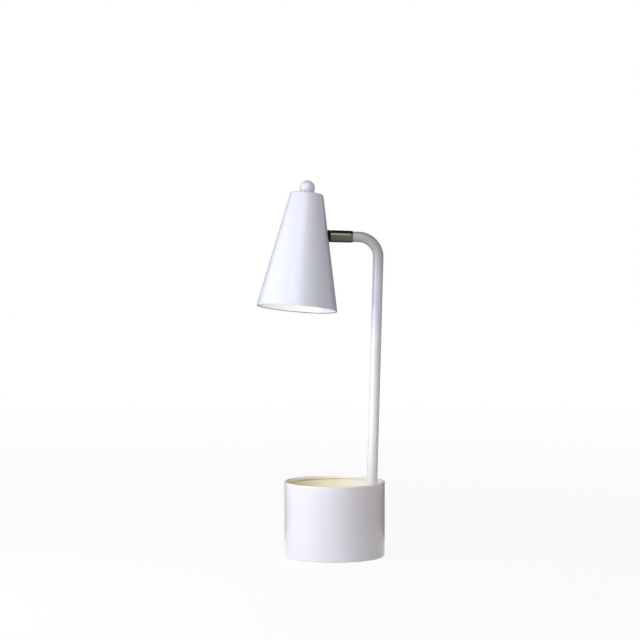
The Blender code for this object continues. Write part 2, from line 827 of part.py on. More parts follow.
def make_finial_ball():
    """A sphere cut off flat where it sits on the shade, bored for the nipple."""
    thread_radius = nipple_radius + slip_gap
    thread_top = ball_bottom + ball_thread_depth
    end_angle = math.pi - math.asin(ball_base_radius / ball_radius)
    corners = []
    for step in range(ball_steps + 1):
        angle = end_angle * step / ball_steps
        corners.append((ball_radius * math.sin(angle), ball_centre + ball_radius * math.cos(angle), 0))
    corners += [(thread_radius, ball_bottom, 0), (thread_radius, thread_top, 0), (0, thread_top, 0)]
    mesh = turned_mesh("finial_ball", corners)
    add_part("finial_ball", mesh, white_paint, shade_frame)


def make_finial_nipple():
    corners = ring_corners(nipple_bore_radius, nipple_radius,
                           ball_bottom + ball_thread_depth - seat_gap, cap_top - cap_thread_depth)
    mesh = turned_mesh("finial_nipple", corners, closed=True, sides=small_sides)
    add_part("finial_nipple", mesh, zinc, shade_frame)


def make_top_washer():
    corners = ring_corners(nipple_radius + slip_gap, top_washer_radius, top_washer_top,
                           top_washer_top - top_washer_thickness)
    mesh = turned_mesh("top_washer", corners, closed=True, sides=small_sides)
    add_part("top_washer", mesh, zinc, shade_frame)


def make_holder_cap():
    thread_radius = nipple_radius + slip_gap
    shoulder = cap_top - cap_neck_height
    corners = [
        (thread_radius, cap_top, 0),
        (cap_neck_radius, cap_top, holder_fillet),
        (cap_neck_radius, shoulder, holder_fillet),
        (cap_radius, shoulder, cap_shoulder_fillet),
        (cap_radius, cap_bottom, 0),
        (cap_radius - cap_wall, cap_bottom, 0),
        (cap_radius - cap_wall, shoulder - cap_wall, cap_shoulder_fillet - cap_wall),
        (cap_neck_radius, shoulder - cap_wall, 0),
        (cap_neck_radius, cap_top - cap_thread_depth, 0),
        (thread_radius, cap_top - cap_thread_depth, 0),
    ]
    mesh = turned_mesh("holder_cap", corners, closed=True, sides=small_sides)
    cap = add_part("holder_cap", mesh, black_plastic, shade_frame)
    inlet = prism_mesh("lead_inlet", lead_radius + lead_inlet_gap, cap_neck_radius,
                       cap_radius + overrun, small_sides)
    cut(cap, add_cutter("lead_inlet", inlet, shade_frame, (0, 0, lead_inlet),
                        (0, math.pi / 2, 0)))


def make_holder_body():
    recess_bore = cap_radius + slip_gap
    corners = [
        (recess_bore, holder_top, 0),
        (holder_radius, holder_top, holder_fillet / 2),
        (holder_radius, holder_bottom + holder_taper_height, holder_fillet),
        (holder_lip_radius, holder_bottom, holder_fillet),
        (holder_bore_radius, holder_bottom, holder_fillet),
        (holder_bore_radius, holder_ledge, 0),
        (recess_bore, holder_ledge, 0),
    ]
    mesh = turned_mesh("holder_body", corners, closed=True, sides=small_sides)
    add_part("holder_body", mesh, black_plastic, shade_frame)


def make_holder_insert():
    boss_radius = holder_bore_radius - slip_gap
    corners = [
        (0, insert_top, 0),
        (cap_radius, insert_top, 0),
        (cap_radius, insert_bottom, 0),
        (boss_radius, insert_bottom, 0),
        (boss_radius, boss_bottom, holder_fillet),
        (0, boss_bottom, 0),
    ]
    mesh = turned_mesh("holder_insert", corners, sides=small_sides)
    add_part("holder_insert", mesh, porcelain, shade_frame)


def make_screw_shell():
    outer = shell_radius + shell_wall
    corners = [
        (shell_radius, shell_top, 0),
        (shell_flange_radius, shell_top, 0),
        (shell_flange_radius, shell_top - shell_wall, 0),
        (outer, shell_top - shell_wall, 0),
        (outer, shell_top - shell_length, 0),
        (shell_radius, shell_top - shell_length, 0),
    ]
    mesh = turned_mesh("screw_shell", corners, closed=True, sides=small_sides)
    add_part("screw_shell", mesh, brass, shade_frame)


def make_centre_contact():
    corners = disc_corners(contact_radius, boss_bottom - seat_gap, boss_bottom - contact_height,
                           0, contact_radius / 4)
    mesh = turned_mesh("centre_contact", corners, sides=small_sides)
    add_part("centre_contact", mesh, brass, shade_frame)


def make_bulb_cap():
    """Solid up to the thread, then a thin shell that holds the glass."""
    thread_top = bulb_tip - bulb_tip_height - bulb_cone_height
    inner = bulb_thread_radius - bulb_thread_wall
    glass_seat = bulb_cap_bottom + glass_neck_depth + seat_gap
    corners = [
        (0, bulb_tip, 0),
        (bulb_tip_radius, bulb_tip, 0),
        (bulb_tip_radius, bulb_tip - bulb_tip_height, 0),
        (bulb_thread_radius, thread_top, 0),
        (bulb_thread_radius, bulb_cap_bottom + glass_neck_depth / 3, 0),
        (bulb_collar_radius, bulb_cap_bottom, 0),
        (bulb_collar_radius - bulb_thread_wall, bulb_cap_bottom, 0),
        (inner, bulb_cap_bottom + glass_neck_depth / 3, 0),
        (inner, glass_seat, 0),
        (0, glass_seat, 0),
    ]
    mesh = turned_mesh("bulb_cap", corners, sides=small_sides)
    add_part("bulb_cap", mesh, aluminium, shade_frame)


def make_bulb_glass():
    """The neck flares into the globe by an arc, and the globe closes at the bottom."""
    corners = [(glass_neck_radius, bulb_cap_bottom + glass_neck_depth, 0)]
    for step in range(flare_steps + 1):
        angle = (math.pi / 2 - flare_angle) * step / flare_steps
        corners.append((flare_centre_x - glass_flare_radius * math.cos(angle),
                        neck_end - glass_flare_radius * math.sin(angle), 0))
    for step in range(1, globe_steps + 1):
        angle = flare_angle + (math.pi - flare_angle) * step / globe_steps
        corners.append((globe_radius * math.sin(angle),
                        globe_centre + globe_radius * math.cos(angle), 0))
    mesh = turned_mesh("bulb_glass", corners, wall=glass_wall)
    add_part("bulb_glass", mesh, opal_glass, shade_frame)


def make_holder_lead():
    """Out of the stem's bore, up beside the lampholder and in through the cap's side."""
    along = Vector((math.cos(shade_droop), 0, math.sin(shade_droop)))
    start = along * (shade_axis_offset - stem_end + lead_in_stem)
    lower = along * (lead_stand / math.cos(shade_droop))
    end_x = nipple_radius + lead_tail_gap + lead_radius
    corners = [
        (start.x, start.z, 0),
        (lower.x, lower.z, lead_bend_radius),
        (lead_stand, lead_inlet, lead_bend_radius),
        (end_x, lead_inlet, 0),
    ]
    points = [(point.x, 0, point.y) for point in filleted(corners, False)]
    mesh = bar_mesh("holder_lead", points, lead_radius, lead_half_sides)
    add_part("holder_lead", mesh, white_sleeving, shade_frame)


make_base_pad()
make_bottom_plate()
make_cover_screws()
make_base_weight()
make_cup_shell()
make_cord_grommet()
make_cup_floor()
make_post_foot()
make_foot_washer()
make_foot_nut()
make_arm_tube()
make_swivel_sleeve()
make_friction_bush()
make_stop_screw()
make_head_stem()
make_outer_seat()
make_inner_seat()
make_stem_washer()
make_stem_nut()
make_shade()
make_finial_ball()
make_finial_nipple()
make_top_washer()
make_holder_cap()
make_holder_body()
make_holder_insert()
make_screw_shell()
make_centre_contact()
make_bulb_cap()
make_bulb_glass()
make_holder_lead()
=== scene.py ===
# Desk lamp with a pen cup: finishes, fine forms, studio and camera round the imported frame
import math

import bmesh
import bpy
from mathutils import Matrix, Vector


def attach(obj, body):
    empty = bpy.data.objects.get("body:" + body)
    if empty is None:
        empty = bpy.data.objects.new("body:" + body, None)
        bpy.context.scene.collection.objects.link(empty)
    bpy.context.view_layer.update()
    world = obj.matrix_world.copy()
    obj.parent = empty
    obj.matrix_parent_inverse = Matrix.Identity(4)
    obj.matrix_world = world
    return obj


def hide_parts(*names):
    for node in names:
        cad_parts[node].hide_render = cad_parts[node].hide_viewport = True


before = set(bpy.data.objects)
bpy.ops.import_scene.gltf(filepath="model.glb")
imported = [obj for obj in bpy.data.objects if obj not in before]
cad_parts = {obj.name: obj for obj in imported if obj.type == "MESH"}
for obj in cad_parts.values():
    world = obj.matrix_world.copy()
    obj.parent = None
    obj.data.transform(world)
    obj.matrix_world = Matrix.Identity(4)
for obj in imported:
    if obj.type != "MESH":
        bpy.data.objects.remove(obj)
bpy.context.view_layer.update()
print("frame loaded:", len(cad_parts), "nodes")

mm = 0.001  # forms are drawn in millimetres
tiny = 0.000001
fullTurn = 2 * math.pi
quarter = math.pi / 2


def picked(sizes, names):  # some of a piece's values, in the order of the names
    return (sizes[name] for name in names.split())


# outlines are lists of (radius or x, height) that are turned or swept later
def rounded(corners, closed=False, step=math.radians(12), fewest=3):
    points = []  # corners are (x, z, fillet radius)
    count = len(corners)
    for index, (x, z, radius) in enumerate(corners):
        corner = Vector((x, z))
        if radius == 0 or (not closed and index in (0, count - 1)):
            points.append(corner)
            continue
        before = (Vector(corners[index - 1][:2]) - corner).normalized()
        after = (Vector(corners[(index + 1) % count][:2]) - corner).normalized()
        half = before.angle(after) / 2
        centre = corner + (before + after).normalized() * radius / math.sin(half)
        start = corner + before * radius / math.tan(half) - centre
        end = corner + after * radius / math.tan(half) - centre
        sweep = start.angle_signed(end)
        steps = max(fewest, round(abs(sweep) / step))
        for part in range(steps + 1):
            turn = Matrix.Rotation(-sweep * part / steps, 2)
            points.append(centre + turn @ start)
    kept = points[:1]
    for point in points[1:]:
        if (point - kept[-1]).length > tiny:
            kept.append(point)
    return kept


def ring(inner, outer, start, end, rounds):
    corners = [(inner, start), (outer, start), (outer, end), (inner, end)]
    return rounded([(*corner, size) for corner, size in zip(corners, rounds)], True)


def sheet(corners, wall, cutRound=0.25, cutStep=math.radians(30)):
    outer = rounded(corners)  # the outside of bent sheet metal; the wall goes inwards from it
    inner = []
    last = len(outer) - 1
    for index, point in enumerate(outer):
        ways = []
        if index > 0:
            ways.append((point - outer[index - 1]).normalized())
        if index < last:
            ways.append((outer[index + 1] - point).normalized())
        normals = [Vector((-way.y, way.x)) for way in ways]
        middle = sum(normals, Vector((0, 0))).normalized()
        inner.append(point - middle * wall / middle.dot(normals[0]))
    skin = [*enumerate(outer), *reversed(list(enumerate(inner)))]
    loop = [(point.x, point.y, cutRound if index in (0, last) else 0) for index, point in skin]
    return rounded(loop, True, cutStep)


def guarded(points, closed, gap, longest):
    made = []  # extra points by the ends of long runs keep the shading even
    count = len(points)
    for index, point in enumerate(points):
        made.append(point)
        if index == count - 1 and not closed:
            break
        run = points[(index + 1) % count] - point
        if run.length <= 3 * gap:
            continue
        way, between = run.normalized(), run.length - 2 * gap
        made.append(point + way * gap)
        if longest:
            parts = math.ceil(between / longest)
            made += [point + way * (gap + between * part / parts) for part in range(1, parts)]
        made.append(point + way * (run.length - gap))
    return made


def linked(name, shape):
    mesh = bpy.data.meshes.new(name)
    shape.to_mesh(mesh)
    shape.free()
    piece = bpy.data.objects.new(name, mesh)
    bpy.context.scene.collection.objects.link(piece)
    return piece


def pieceFrom(shape, name, place):
    bmesh.ops.recalc_face_normals(shape, faces=shape.faces)
    piece = linked(name, shape)
    piece.data.transform(Matrix.Scale(mm, 4) @ place)
    return smoothed(piece)


def smoothed(piece, sharp=math.radians(38)):
    piece.data.shade_smooth()
    piece.data.set_sharp_from_angle(angle=sharp)
    return piece


def joinRings(shape, rings):
    for first, second in rings:
        sides = max(len(first), len(second))
        for side in range(sides):
            following = (side + 1) % sides
            loop = [first[side % len(first)], first[following % len(first)],
                    second[following % len(second)], second[side % len(second)]]
            face = list(dict.fromkeys(loop))
            if len(face) > 2:
                shape.faces.new(face)


def turned(name, points, closed=True, sides=96, place=Matrix(), gap=0.35, longest=None,
           reshape=None):
    shape = bmesh.new()
    rings = []
    points = [Vector(point) for point in points]
    for point in guarded(points, closed, gap, longest):
        if point.x < tiny:
            rings.append([shape.verts.new((0, 0, point.y))])
            continue
        loop = []
        for side in range(sides):
            angle = fullTurn * side / sides
            radius = reshape(point.x, point.y, angle) if reshape else point.x
            spot = (radius * math.cos(angle), radius * math.sin(angle), point.y)
            loop.append(shape.verts.new(spot))
        rings.append(loop)
    pairs = list(zip(rings, rings[1:]))
    if closed:
        pairs.append((rings[-1], rings[0]))
    joinRings(shape, pairs)
    return pieceFrom(shape, name, place)


def swept(name, path, radius, sides, wall=0, place=Matrix()):
    shape = bmesh.new()  # a bar, or a tube with a wall, along a path in the x-z plane
    skins = [[], []]
    for index, point in enumerate(path):
        ahead = path[min(index + 1, len(path) - 1)] - path[max(index - 1, 0)]
        across = Vector((ahead.y, -ahead.x)).normalized()
        for skin, size in zip(skins, (radius, radius - wall)):
            loop = []
            for side in range(sides):
                angle = fullTurn * side / sides
                out = point + across * size * math.cos(angle)
                loop.append(shape.verts.new((out.x, size * math.sin(angle), out.y)))
            skin.append(loop)
            if not wall:
                break
    outside, inside = skins
    joinRings(shape, zip(outside, outside[1:]))
    if wall:
        joinRings(shape, zip(inside, inside[1:]))
        joinRings(shape, [(outside[0], inside[0]), (outside[-1], inside[-1])])
    else:
        shape.faces.new(outside[0])
        shape.faces.new(outside[-1])
    return pieceFrom(shape, name, place)


def plug(name, radius, start, end, place, sides=64):  # a round cutter
    outline = rounded([(0, start, 0), (radius, start, 0), (radius, end, 0), (0, end, 0)])
    return turned(name, outline, False, sides, place)


def carved(piece, cutter, operation="DIFFERENCE"):
    boolean = piece.modifiers.new("cut", "BOOLEAN")
    boolean.operation = operation
    boolean.solver = "EXACT"
    boolean.object = cutter
    bpy.context.view_layer.update()
    cut = piece.evaluated_get(bpy.context.evaluated_depsgraph_get())
    mesh = bpy.data.meshes.new_from_object(cut)
    piece.modifiers.clear()
    piece.data = mesh
    bpy.data.objects.remove(cutter)
    return smoothed(piece)


def hexRadius(flats, angle):
    return flats / 2 / math.cos((angle + math.pi / 6) % (math.pi / 3) - math.pi / 6)


def hexCorner(flats):
    return flats / 2 / math.cos(math.pi / 6)


class Wire:  # a node's output that can be added, multiplied and so on
    def __init__(self, tree, out):
        self.tree = tree
        self.out = out

    def __add__(self, other):
        return mathNode("ADD", self, other)

    def __sub__(self, other):
        return mathNode("SUBTRACT", self, other)

    def __rsub__(self, other):
        return mathNode("SUBTRACT", other, self)

    def __mul__(self, other):
        return mathNode("MULTIPLY", self, other)

    __radd__, __rmul__ = __add__, __mul__


def mathNode(kind, *values):
    tree = next(value.tree for value in values if isinstance(value, Wire))
    node = tree.nodes.new("ShaderNodeMath")
    node.operation = kind
    for socket, value in zip(node.inputs, values):
        feed(tree, socket, value)
    return Wire(tree, node.outputs[0])


def feed(tree, socket, value):
    if isinstance(value, Wire):
        tree.links.new(value.out, socket)
    else:
        socket.default_value = value


class Nodes:  # adds nodes to the tree of a material or of the world
    def __init__(self, tree):
        self.tree = tree

    def node(self, kind, settings=None, sockets=None, out=0):
        made = self.tree.nodes.new("ShaderNode" + kind)
        for name, value in (settings or {}).items():
            setattr(made, name, value)
        for name, value in (sockets or {}).items():
            feed(self.tree, made.inputs[name], value)
        return Wire(self.tree, made.outputs[out])

    def seen(self):  # 1 for what the camera, a gloss or a glass sees directly
        camera, gloss, glass = (self.node("LightPath", out=f"Is {ray} Ray")
                                for ray in ("Camera", "Glossy", "Transmission"))
        return mathNode("MAXIMUM", mathNode("MAXIMUM", camera, gloss), glass)

    def surface(self, output, share, usual, shown):
        mix = self.node("MixShader", None, {0: share, 1: usual, 2: shown})
        feed(self.tree, self.tree.nodes[output].inputs["Surface"], mix)


class Finish(Nodes):
    def __init__(self, name, plain):
        self.material = bpy.data.materials.new(name)
        self.material.use_nodes = True
        super().__init__(self.material.node_tree)
        self.shader = self.tree.nodes["Principled BSDF"]
        self.put(plain)

    def put(self, sockets):
        for name, value in sockets.items():
            feed(self.tree, self.shader.inputs[name], value)

    def place(self, stretch=(1, 1, 1)):
        spot = self.node("TexCoord", out="Object")
        return self.node("VectorMath", {"operation": "MULTIPLY"}, {0: spot, 1: stretch})

    def axis(self, letter):
        return self.node("SeparateXYZ", None, {0: self.place()}, out=letter)

    def length(self, vector):
        return self.node("VectorMath", {"operation": "LENGTH"}, {0: vector}, out="Value")

    def grain(self, scale, detail=2, stretch=(1, 1, 1), rough=0.5, twist=0):
        return self.node("TexNoise", None, {
            "Vector": self.place(stretch), "Scale": scale, "Detail": detail, "Roughness": rough,
            "Distortion": twist})

    def between(self, value, low, high, first=0, second=1):
        return self.node("MapRange", {"interpolation_type": "SMOOTHSTEP"},
                         {0: value, 1: low, 2: high, 3: first, 4: second})

    def mixed(self, share, first, second):
        first, second = (colour if isinstance(colour, Wire) else (*colour, 1)
                         for colour in (first, second))
        return self.node("Mix", {"data_type": "RGBA"}, {0: share, 6: first, 7: second}, out=2)

    def bumped(self, height, distance):
        sockets = {"Height": height, "Distance": distance, "Strength": 1}
        self.put({"Normal": self.node("Bump", None, sockets)})


def coat(piece, finish):
    piece.data.materials.clear()
    piece.data.materials.append(finish.material)


def dress(piece, finish, body, nodeName):
    coat(piece, finish)
    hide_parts(nodeName)
    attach(piece, body)


cup = {
    "radius": 60, "height": 90, "wall": 0.8, "hem": 4, "slit": 0.3, "edge": 1.6, "lift": 0.4,
    "footWidth": 5.5, "press": 1.1, "flange": 4, "flangeLevel": 3.1, "boreGap": 0.2,
    "drill": (50, 70),
}


def makeCup():
    radius, height, wall, lift, press, level = picked(
        cup, "radius height wall lift press flangeLevel")
    hemRadius = wall + cup["slit"] / 2
    leg, footInner = radius - 2 * hemRadius, radius - cup["footWidth"]
    corners = [
        (leg, height - cup["hem"], 0), (leg, height, hemRadius), (radius, height, hemRadius),
        (radius, lift, cup["edge"]), (footInner, lift, press), (footInner, level, press),
        (footInner - cup["flange"], level, 0),
    ]
    shell = turned("pen_cup", sheet(corners, wall), sides=176, longest=12)
    bore = plug("inlet_bore", inlet["neck"] + cup["boreGap"], *cup["drill"], atInlet, sides=48)
    dress(carved(shell, bore), cupEnamel, "base", "cup_shell")


floorLid = {
    "radius": 57.6, "top": 21.3, "skirt": 5, "edge": 1.2, "wall": 0.8, "hole": 5.15,
    "drill": (15, 30),
}


def makeFloorLid():
    radius, top, wall, edge = picked(floorLid, "radius top wall edge")
    low = top - floorLid["skirt"]
    outer = rounded([(0, top, 0), (radius, top, edge), (radius, low, 0)])
    inner = rounded([(0, top - wall, 0), (radius - wall, top - wall, edge - wall),
                     (radius - wall, low, 0)])
    lid = turned("floor_lid", outer + inner[::-1], closed=False, sides=160, longest=9)
    hole = plug("lid_hole", floorLid["hole"], *floorLid["drill"], atPost, sides=48)
    dress(carved(lid, hole), cupEnamel, "base", "cup_floor")


inlet = {
    "height": 9.45, "bore": 3, "neck": 5, "lip": 6.8, "lipThickness": 1.4, "lipRound": 0.5,
    "seatRound": 0.15, "gap": 0.3,
}
atInlet = Matrix.Translation((0, 0, inlet["height"])) @ Matrix.Rotation(-quarter, 4, "X")


def makeInletBush():
    outside = cup["radius"] + inlet["gap"]
    inside = math.sqrt((cup["radius"] - cup["wall"]) ** 2 - inlet["lip"] ** 2) - inlet["gap"]
    bore, neck, lip, thick, soft, seat = picked(
        inlet, "bore neck lip lipThickness lipRound seatRound")
    corners = [
        (bore, outside + thick, soft), (lip, outside + thick, soft), (lip, outside, seat),
        (neck, outside, 0), (neck, inside, 0), (lip, inside, seat), (lip, inside - thick, soft),
        (bore, inside - thick, soft),
    ]
    bush = turned("inlet_bush", rounded(corners, True), sides=56, place=atInlet, gap=0.2)
    dress(bush, bushBlack, "base", "cord_grommet")


arm = {
    "postX": 43.5, "bottom": 24.9, "leanStart": 38.9, "lean": math.radians(1.5), "setOver": 4,
    "height": 381.4, "bend": 24, "reach": 57.4, "radius": 6.25, "wall": 1.0, "gap": 0.3,
}
armUp = Vector((math.sin(arm["lean"]), math.cos(arm["lean"])))
armOut = Vector((-math.cos(arm["lean"]), math.sin(arm["lean"])))
armRise = (arm["height"] - arm["leanStart"]) / math.cos(arm["lean"])
armCorner = Vector((arm["postX"], arm["leanStart"])) + armUp * armRise
armEnd = armCorner + armOut * arm["reach"]
atPost = Matrix.Translation((arm["postX"], 0, 0))
atArmEnd = (Matrix.Translation((armEnd.x, 0, armEnd.y))
            @ Matrix.Rotation(arm["lean"] - quarter, 4, "Y"))


def makeArm():
    easeSteps, postSteps, bendSteps = 3, 8, 24
    path = [Vector((arm["postX"], arm["bottom"]))]
    start, setOver = Vector((arm["postX"], arm["leanStart"])), arm["setOver"]
    for part in range(easeSteps + 1):  # the tube is set over just above its foot
        share = part / easeSteps
        path.append(start + Vector((0, -setOver)) * (1 - share) ** 2 + armUp * setOver * share ** 2)
    centre = armCorner - armUp * arm["bend"] + armOut * arm["bend"]
    run = centre - armOut * arm["bend"] - path[-1]
    path += [path[-1] + run * part / postSteps for part in range(1, postSteps)]
    for part in range(bendSteps + 1):
        angle = quarter * part / bendSteps
        path.append(centre - armOut * arm["bend"] * math.cos(angle)
                    + armUp * arm["bend"] * math.sin(angle))
    reach = arm["reach"] - sleeve["length"] + sleeve["socketDepth"] - arm["gap"]
    end = armCorner + armOut * reach
    path += [path[-1].lerp(end, 0.5), end]
    pipe = swept("arm_pipe", path, arm["radius"], sides=64, wall=arm["wall"])
    dress(pipe, tubeEnamel, "base", "arm_tube")


foot = {
    "flange": 9.5, "top": 24.6, "bottom": 21.6, "round": 0.8, "underRound": 0.2, "spigot": 5.0,
    "spigotLength": 12, "thread": 4.9, "threadEnd": 4.9, "threadRound": 0.4, "bore": 2.8,
}


def makeFoot():
    top, bottom, bore, spigot, flange, thread, soft = picked(
        foot, "top bottom bore spigot flange thread round")
    spigotEnd, threadEnd = top + foot["spigotLength"], foot["threadEnd"]
    corners = [
        (bore, spigotEnd, 0), (spigot, spigotEnd, soft), (spigot, top, 0), (flange, top, soft),
        (flange, bottom, foot["underRound"]), (thread, bottom, 0),
        (thread, threadEnd, foot["threadRound"]), (bore, threadEnd, 0),
    ]
    turnedFoot = turned("post_flange", rounded(corners, True), sides=72, place=atPost)
    dress(turnedFoot, tubeEnamel, "base", "post_foot")


sleeve = {
    "radius": 7.2, "length": 26.4, "frontRound": 0.55, "rear": 7.12, "rearTaper": 2.6,
    "rearEnd": 6.78, "crown": 12, "rearRound": 0.12, "bore": 5.0, "boreRound": 0.3, "frontBore": 8,
    "pocket": 6.0, "socket": 6.5, "socketRound": 0.1, "socketDepth": 12,
}


def makeSleeve():
    back = -sleeve["length"]
    stop = back + sleeve["socketDepth"]
    skin, bore, socket, pocket, frontBore = picked(sleeve, "radius bore socket pocket frontBore")
    corners = [
        (bore, 0, sleeve["boreRound"]), (skin, 0, sleeve["frontRound"]),
        (sleeve["rear"], back + sleeve["rearTaper"], sleeve["crown"]),
        (sleeve["rearEnd"], back, sleeve["rearRound"]), (socket, back, sleeve["socketRound"]),
        (socket, stop, 0), (pocket, stop, 0), (pocket, -frontBore, 0), (bore, -frontBore, 0),
    ]
    barrel = turned("swivel_barrel", rounded(corners, True), sides=144, place=atArmEnd, gap=0.25,
                    longest=0.9)
    radius, mouth, deep = picked(stopScrew, "hole mouth drillTo")
    drill = [(0, deep), (radius, deep), (radius, skin - mouth), (radius + 2 * mouth, skin + mouth),
             (0, skin + mouth)]
    hole = turned("screw_hole", drill, closed=False, sides=64, place=atStopScrew)
    dress(carved(barrel, hole), blackNickel, "base", "swivel_sleeve")


stopScrew = {
    "setback": 4.4, "drop": math.radians(6.6), "radius": 2.1, "hole": 2.35, "mouth": 0.3,
    "drillTo": 5.4, "outer": 6.85, "inner": 5.0, "point": 0.8, "pointEnd": 4.0, "pointRound": 0.2,
    "key": 1.8, "keyDepth": 1.0, "chamfer": 0.35,
}
atStopScrew = (atArmEnd @ Matrix.Translation((0, 0, -stopScrew["setback"]))
               @ Matrix.Rotation(-quarter - stopScrew["drop"], 4, "Z")
               @ Matrix.Rotation(quarter, 4, "Y"))


def makeStopScrew():
    radius, outer, inner, point, pointEnd, key = picked(
        stopScrew, "radius outer inner point pointEnd key")
    corner, deep = hexCorner(key), outer - stopScrew["keyDepth"]
    outline = rounded([
        (0, deep, 0), (corner, deep, 0), (corner, outer, 0), (radius, outer, stopScrew["chamfer"]),
        (radius, inner, 0), (point, inner, 0), (point, pointEnd, stopScrew["pointRound"]),
        (0, pointEnd, 0),
    ])

    def hexSocket(radius, height, angle):
        if height > inner + tiny and radius < corner + tiny:
            return hexRadius(key, angle) * radius / corner
        return radius

    screw = turned("stop_grub_screw", outline, closed=False, sides=72, place=atStopScrew, gap=0.12,
                   reshape=hexSocket)
    dress(screw, screwSteel, "base", "stop_screw")


swivel = {
    "rest": math.radians(8.4), "stem": 4.8, "stemRound": 0.5, "bore": 2.6, "journal": 13,
    "journalRound": 0.3, "hole": 5.05, "seat": 0.06, "outerSeat": 2.2, "outerRound": 0.2,
    "innerSeat": 3.5, "innerSeatRadius": 8, "innerRound": 0.4, "blank": (-5, 9), "gap": 0.3,
    "washerRadius": 7.5, "washer": 1.0, "nutFlats": 14, "nut": 4.5, "nutMouth": 0.3, "nutFace": 0.4,
    "nutInset": 0.1, "nutChamfer": math.radians(60), "nutSharp": math.radians(20), "tail": 0.8,
    "threadPitch": 1.0, "threadDepth": 0.3, "threadSkin": 0.6,
}
punched = (0.15, 0.35, 0.1, 0.1)  # a punched washer is rounder on one face
shade = {
    "height": 138, "top": 19.65, "rim": 48.2, "wall": 0.8, "shoulder": 1.8, "cutRound": 0.3,
    "droop": math.radians(3.4), "drop": 50.3, "nippleHole": 4.15, "stemHoleGap": 0.5,
    "drill": (3, 0.4),
}
slope = (shade["rim"] - shade["top"]) / shade["height"]
halfCone = math.atan(slope)
wallReach = ((shade["top"] + shade["drop"] * slope)
             / (math.cos(shade["droop"]) + math.sin(shade["droop"]) * slope))
wallOutside = swivel["outerSeat"] + 2 * swivel["gap"]
wallThrough = shade["wall"] / math.cos(halfCone - shade["droop"])
innerSeatEnd = wallOutside + wallThrough + swivel["gap"] + swivel["innerSeat"]
washerStart = innerSeatEnd + swivel["gap"]
nutStart = washerStart + swivel["washer"] + swivel["gap"]
stemEnd = nutStart + swivel["nut"] + swivel["tail"]
atSwivel = atArmEnd @ Matrix.Rotation(swivel["rest"], 4, "Z")
atShade = (atSwivel @ Matrix.Translation((0, 0, wallOutside + wallReach))
           @ Matrix.Rotation(quarter + shade["droop"], 4, "Y"))


def coneBlock(name, grow, beyond=4):  # the shade's cone as a solid, some way past both ends
    sideways = grow / math.cos(halfCone)
    high, low = shade["drop"] + beyond, shade["drop"] - shade["height"] - beyond
    points = [(0, high), (shade["top"] + sideways - beyond * slope, high),
              (shade["rim"] + sideways + beyond * slope, low), (0, low)]
    return turned(name, points, closed=False, sides=200, place=atShade)


def makeSeats():  # both wedges are cut to the cone from round blanks
    hole, (blankStart, blankEnd) = picked(swivel, "hole blank")
    outer = ring(hole, sleeve["radius"], swivel["seat"], blankEnd, (0, swivel["outerRound"], 0, 0))
    blank = turned("outer_wedge", outer, sides=112, place=atSwivel)
    outside = coneBlock("cone_outside", swivel["gap"])
    dress(carved(blank, outside), rubber, "head", "outer_seat")
    inner = ring(hole, swivel["innerSeatRadius"], blankStart, innerSeatEnd,
                 (0, 0, swivel["innerRound"], 0))
    blank = turned("inner_wedge", inner, sides=112, place=atSwivel)
    within = coneBlock("cone_inside", -shade["wall"] - swivel["gap"])
    dress(carved(blank, within, "INTERSECT"), rubber, "head", "inner_seat")


def makeStem():
    stem, pitch, depth = picked(swivel, "stem threadPitch threadDepth")
    rounds = (0, swivel["stemRound"], swivel["journalRound"], 0)

    def threaded(radius, height, angle):
        if radius < stem - swivel["threadSkin"] or height < wallOutside:
            return radius
        wave = abs((height / pitch - angle / fullTurn) % 1 - 0.5) * 2
        return radius - depth * (1 - wave)

    outline = ring(swivel["bore"], stem, stemEnd, -swivel["journal"], rounds)
    bar = turned("hollow_stem", outline, sides=72, place=atSwivel, gap=0.2, longest=0.25,
                 reshape=threaded)
    dress(bar, zinc, "head", "head_stem")


def makeStemNut():
    hole, flats = swivel["hole"], swivel["nutFlats"]
    washerEnd = washerStart + swivel["washer"]
    washer = ring(hole, swivel["washerRadius"], washerEnd, washerStart, punched)
    piece = turned("stem_flat_washer", washer, sides=72, place=atSwivel, gap=0.2)
    dress(piece, zinc, "head", "stem_washer")
    low, high, mouth = nutStart, nutStart + swivel["nut"], swivel["nutMouth"]

    def hexagon(radius, height, angle):
        if radius < hole + swivel["nutFace"]:
            return radius
        edge = min(high - height, height - low)
        chamfer = flats / 2 - swivel["nutInset"] + edge * math.tan(swivel["nutChamfer"])
        return min(radius, hexRadius(flats, angle), chamfer)

    outline = ring(hole, hexCorner(flats), high, low, (mouth, 0, 0, mouth))
    nut = turned("stem_lock_nut", outline, place=atSwivel, gap=0.1, longest=0.3, reshape=hexagon)
    dress(smoothed(nut, swivel["nutSharp"]), zinc, "head", "stem_nut")


def makeShade():
    drop = shade["drop"]
    corners = [(shade["nippleHole"], drop, 0), (shade["top"], drop, shade["shoulder"]),
               (shade["rim"], drop - shade["height"], 0)]
    skin = sheet(corners, shade["wall"], shade["cutRound"])
    cone = turned("cone_shade", skin, sides=200, place=atShade, longest=10)
    past, low = shade["drill"]
    hole = plug("stem_hole", swivel["hole"] + shade["stemHoleGap"], innerSeatEnd + past, low,
                atSwivel)
    dress(carved(cone, hole), shadeEnamel, "head", "shade")


finial = {
    "radius": 9.17, "base": 6.6, "nipple": 3.9, "gap": 0.25, "washerRadius": 9.0, "washer": 1.0,
    "threadDepth": 8,
}


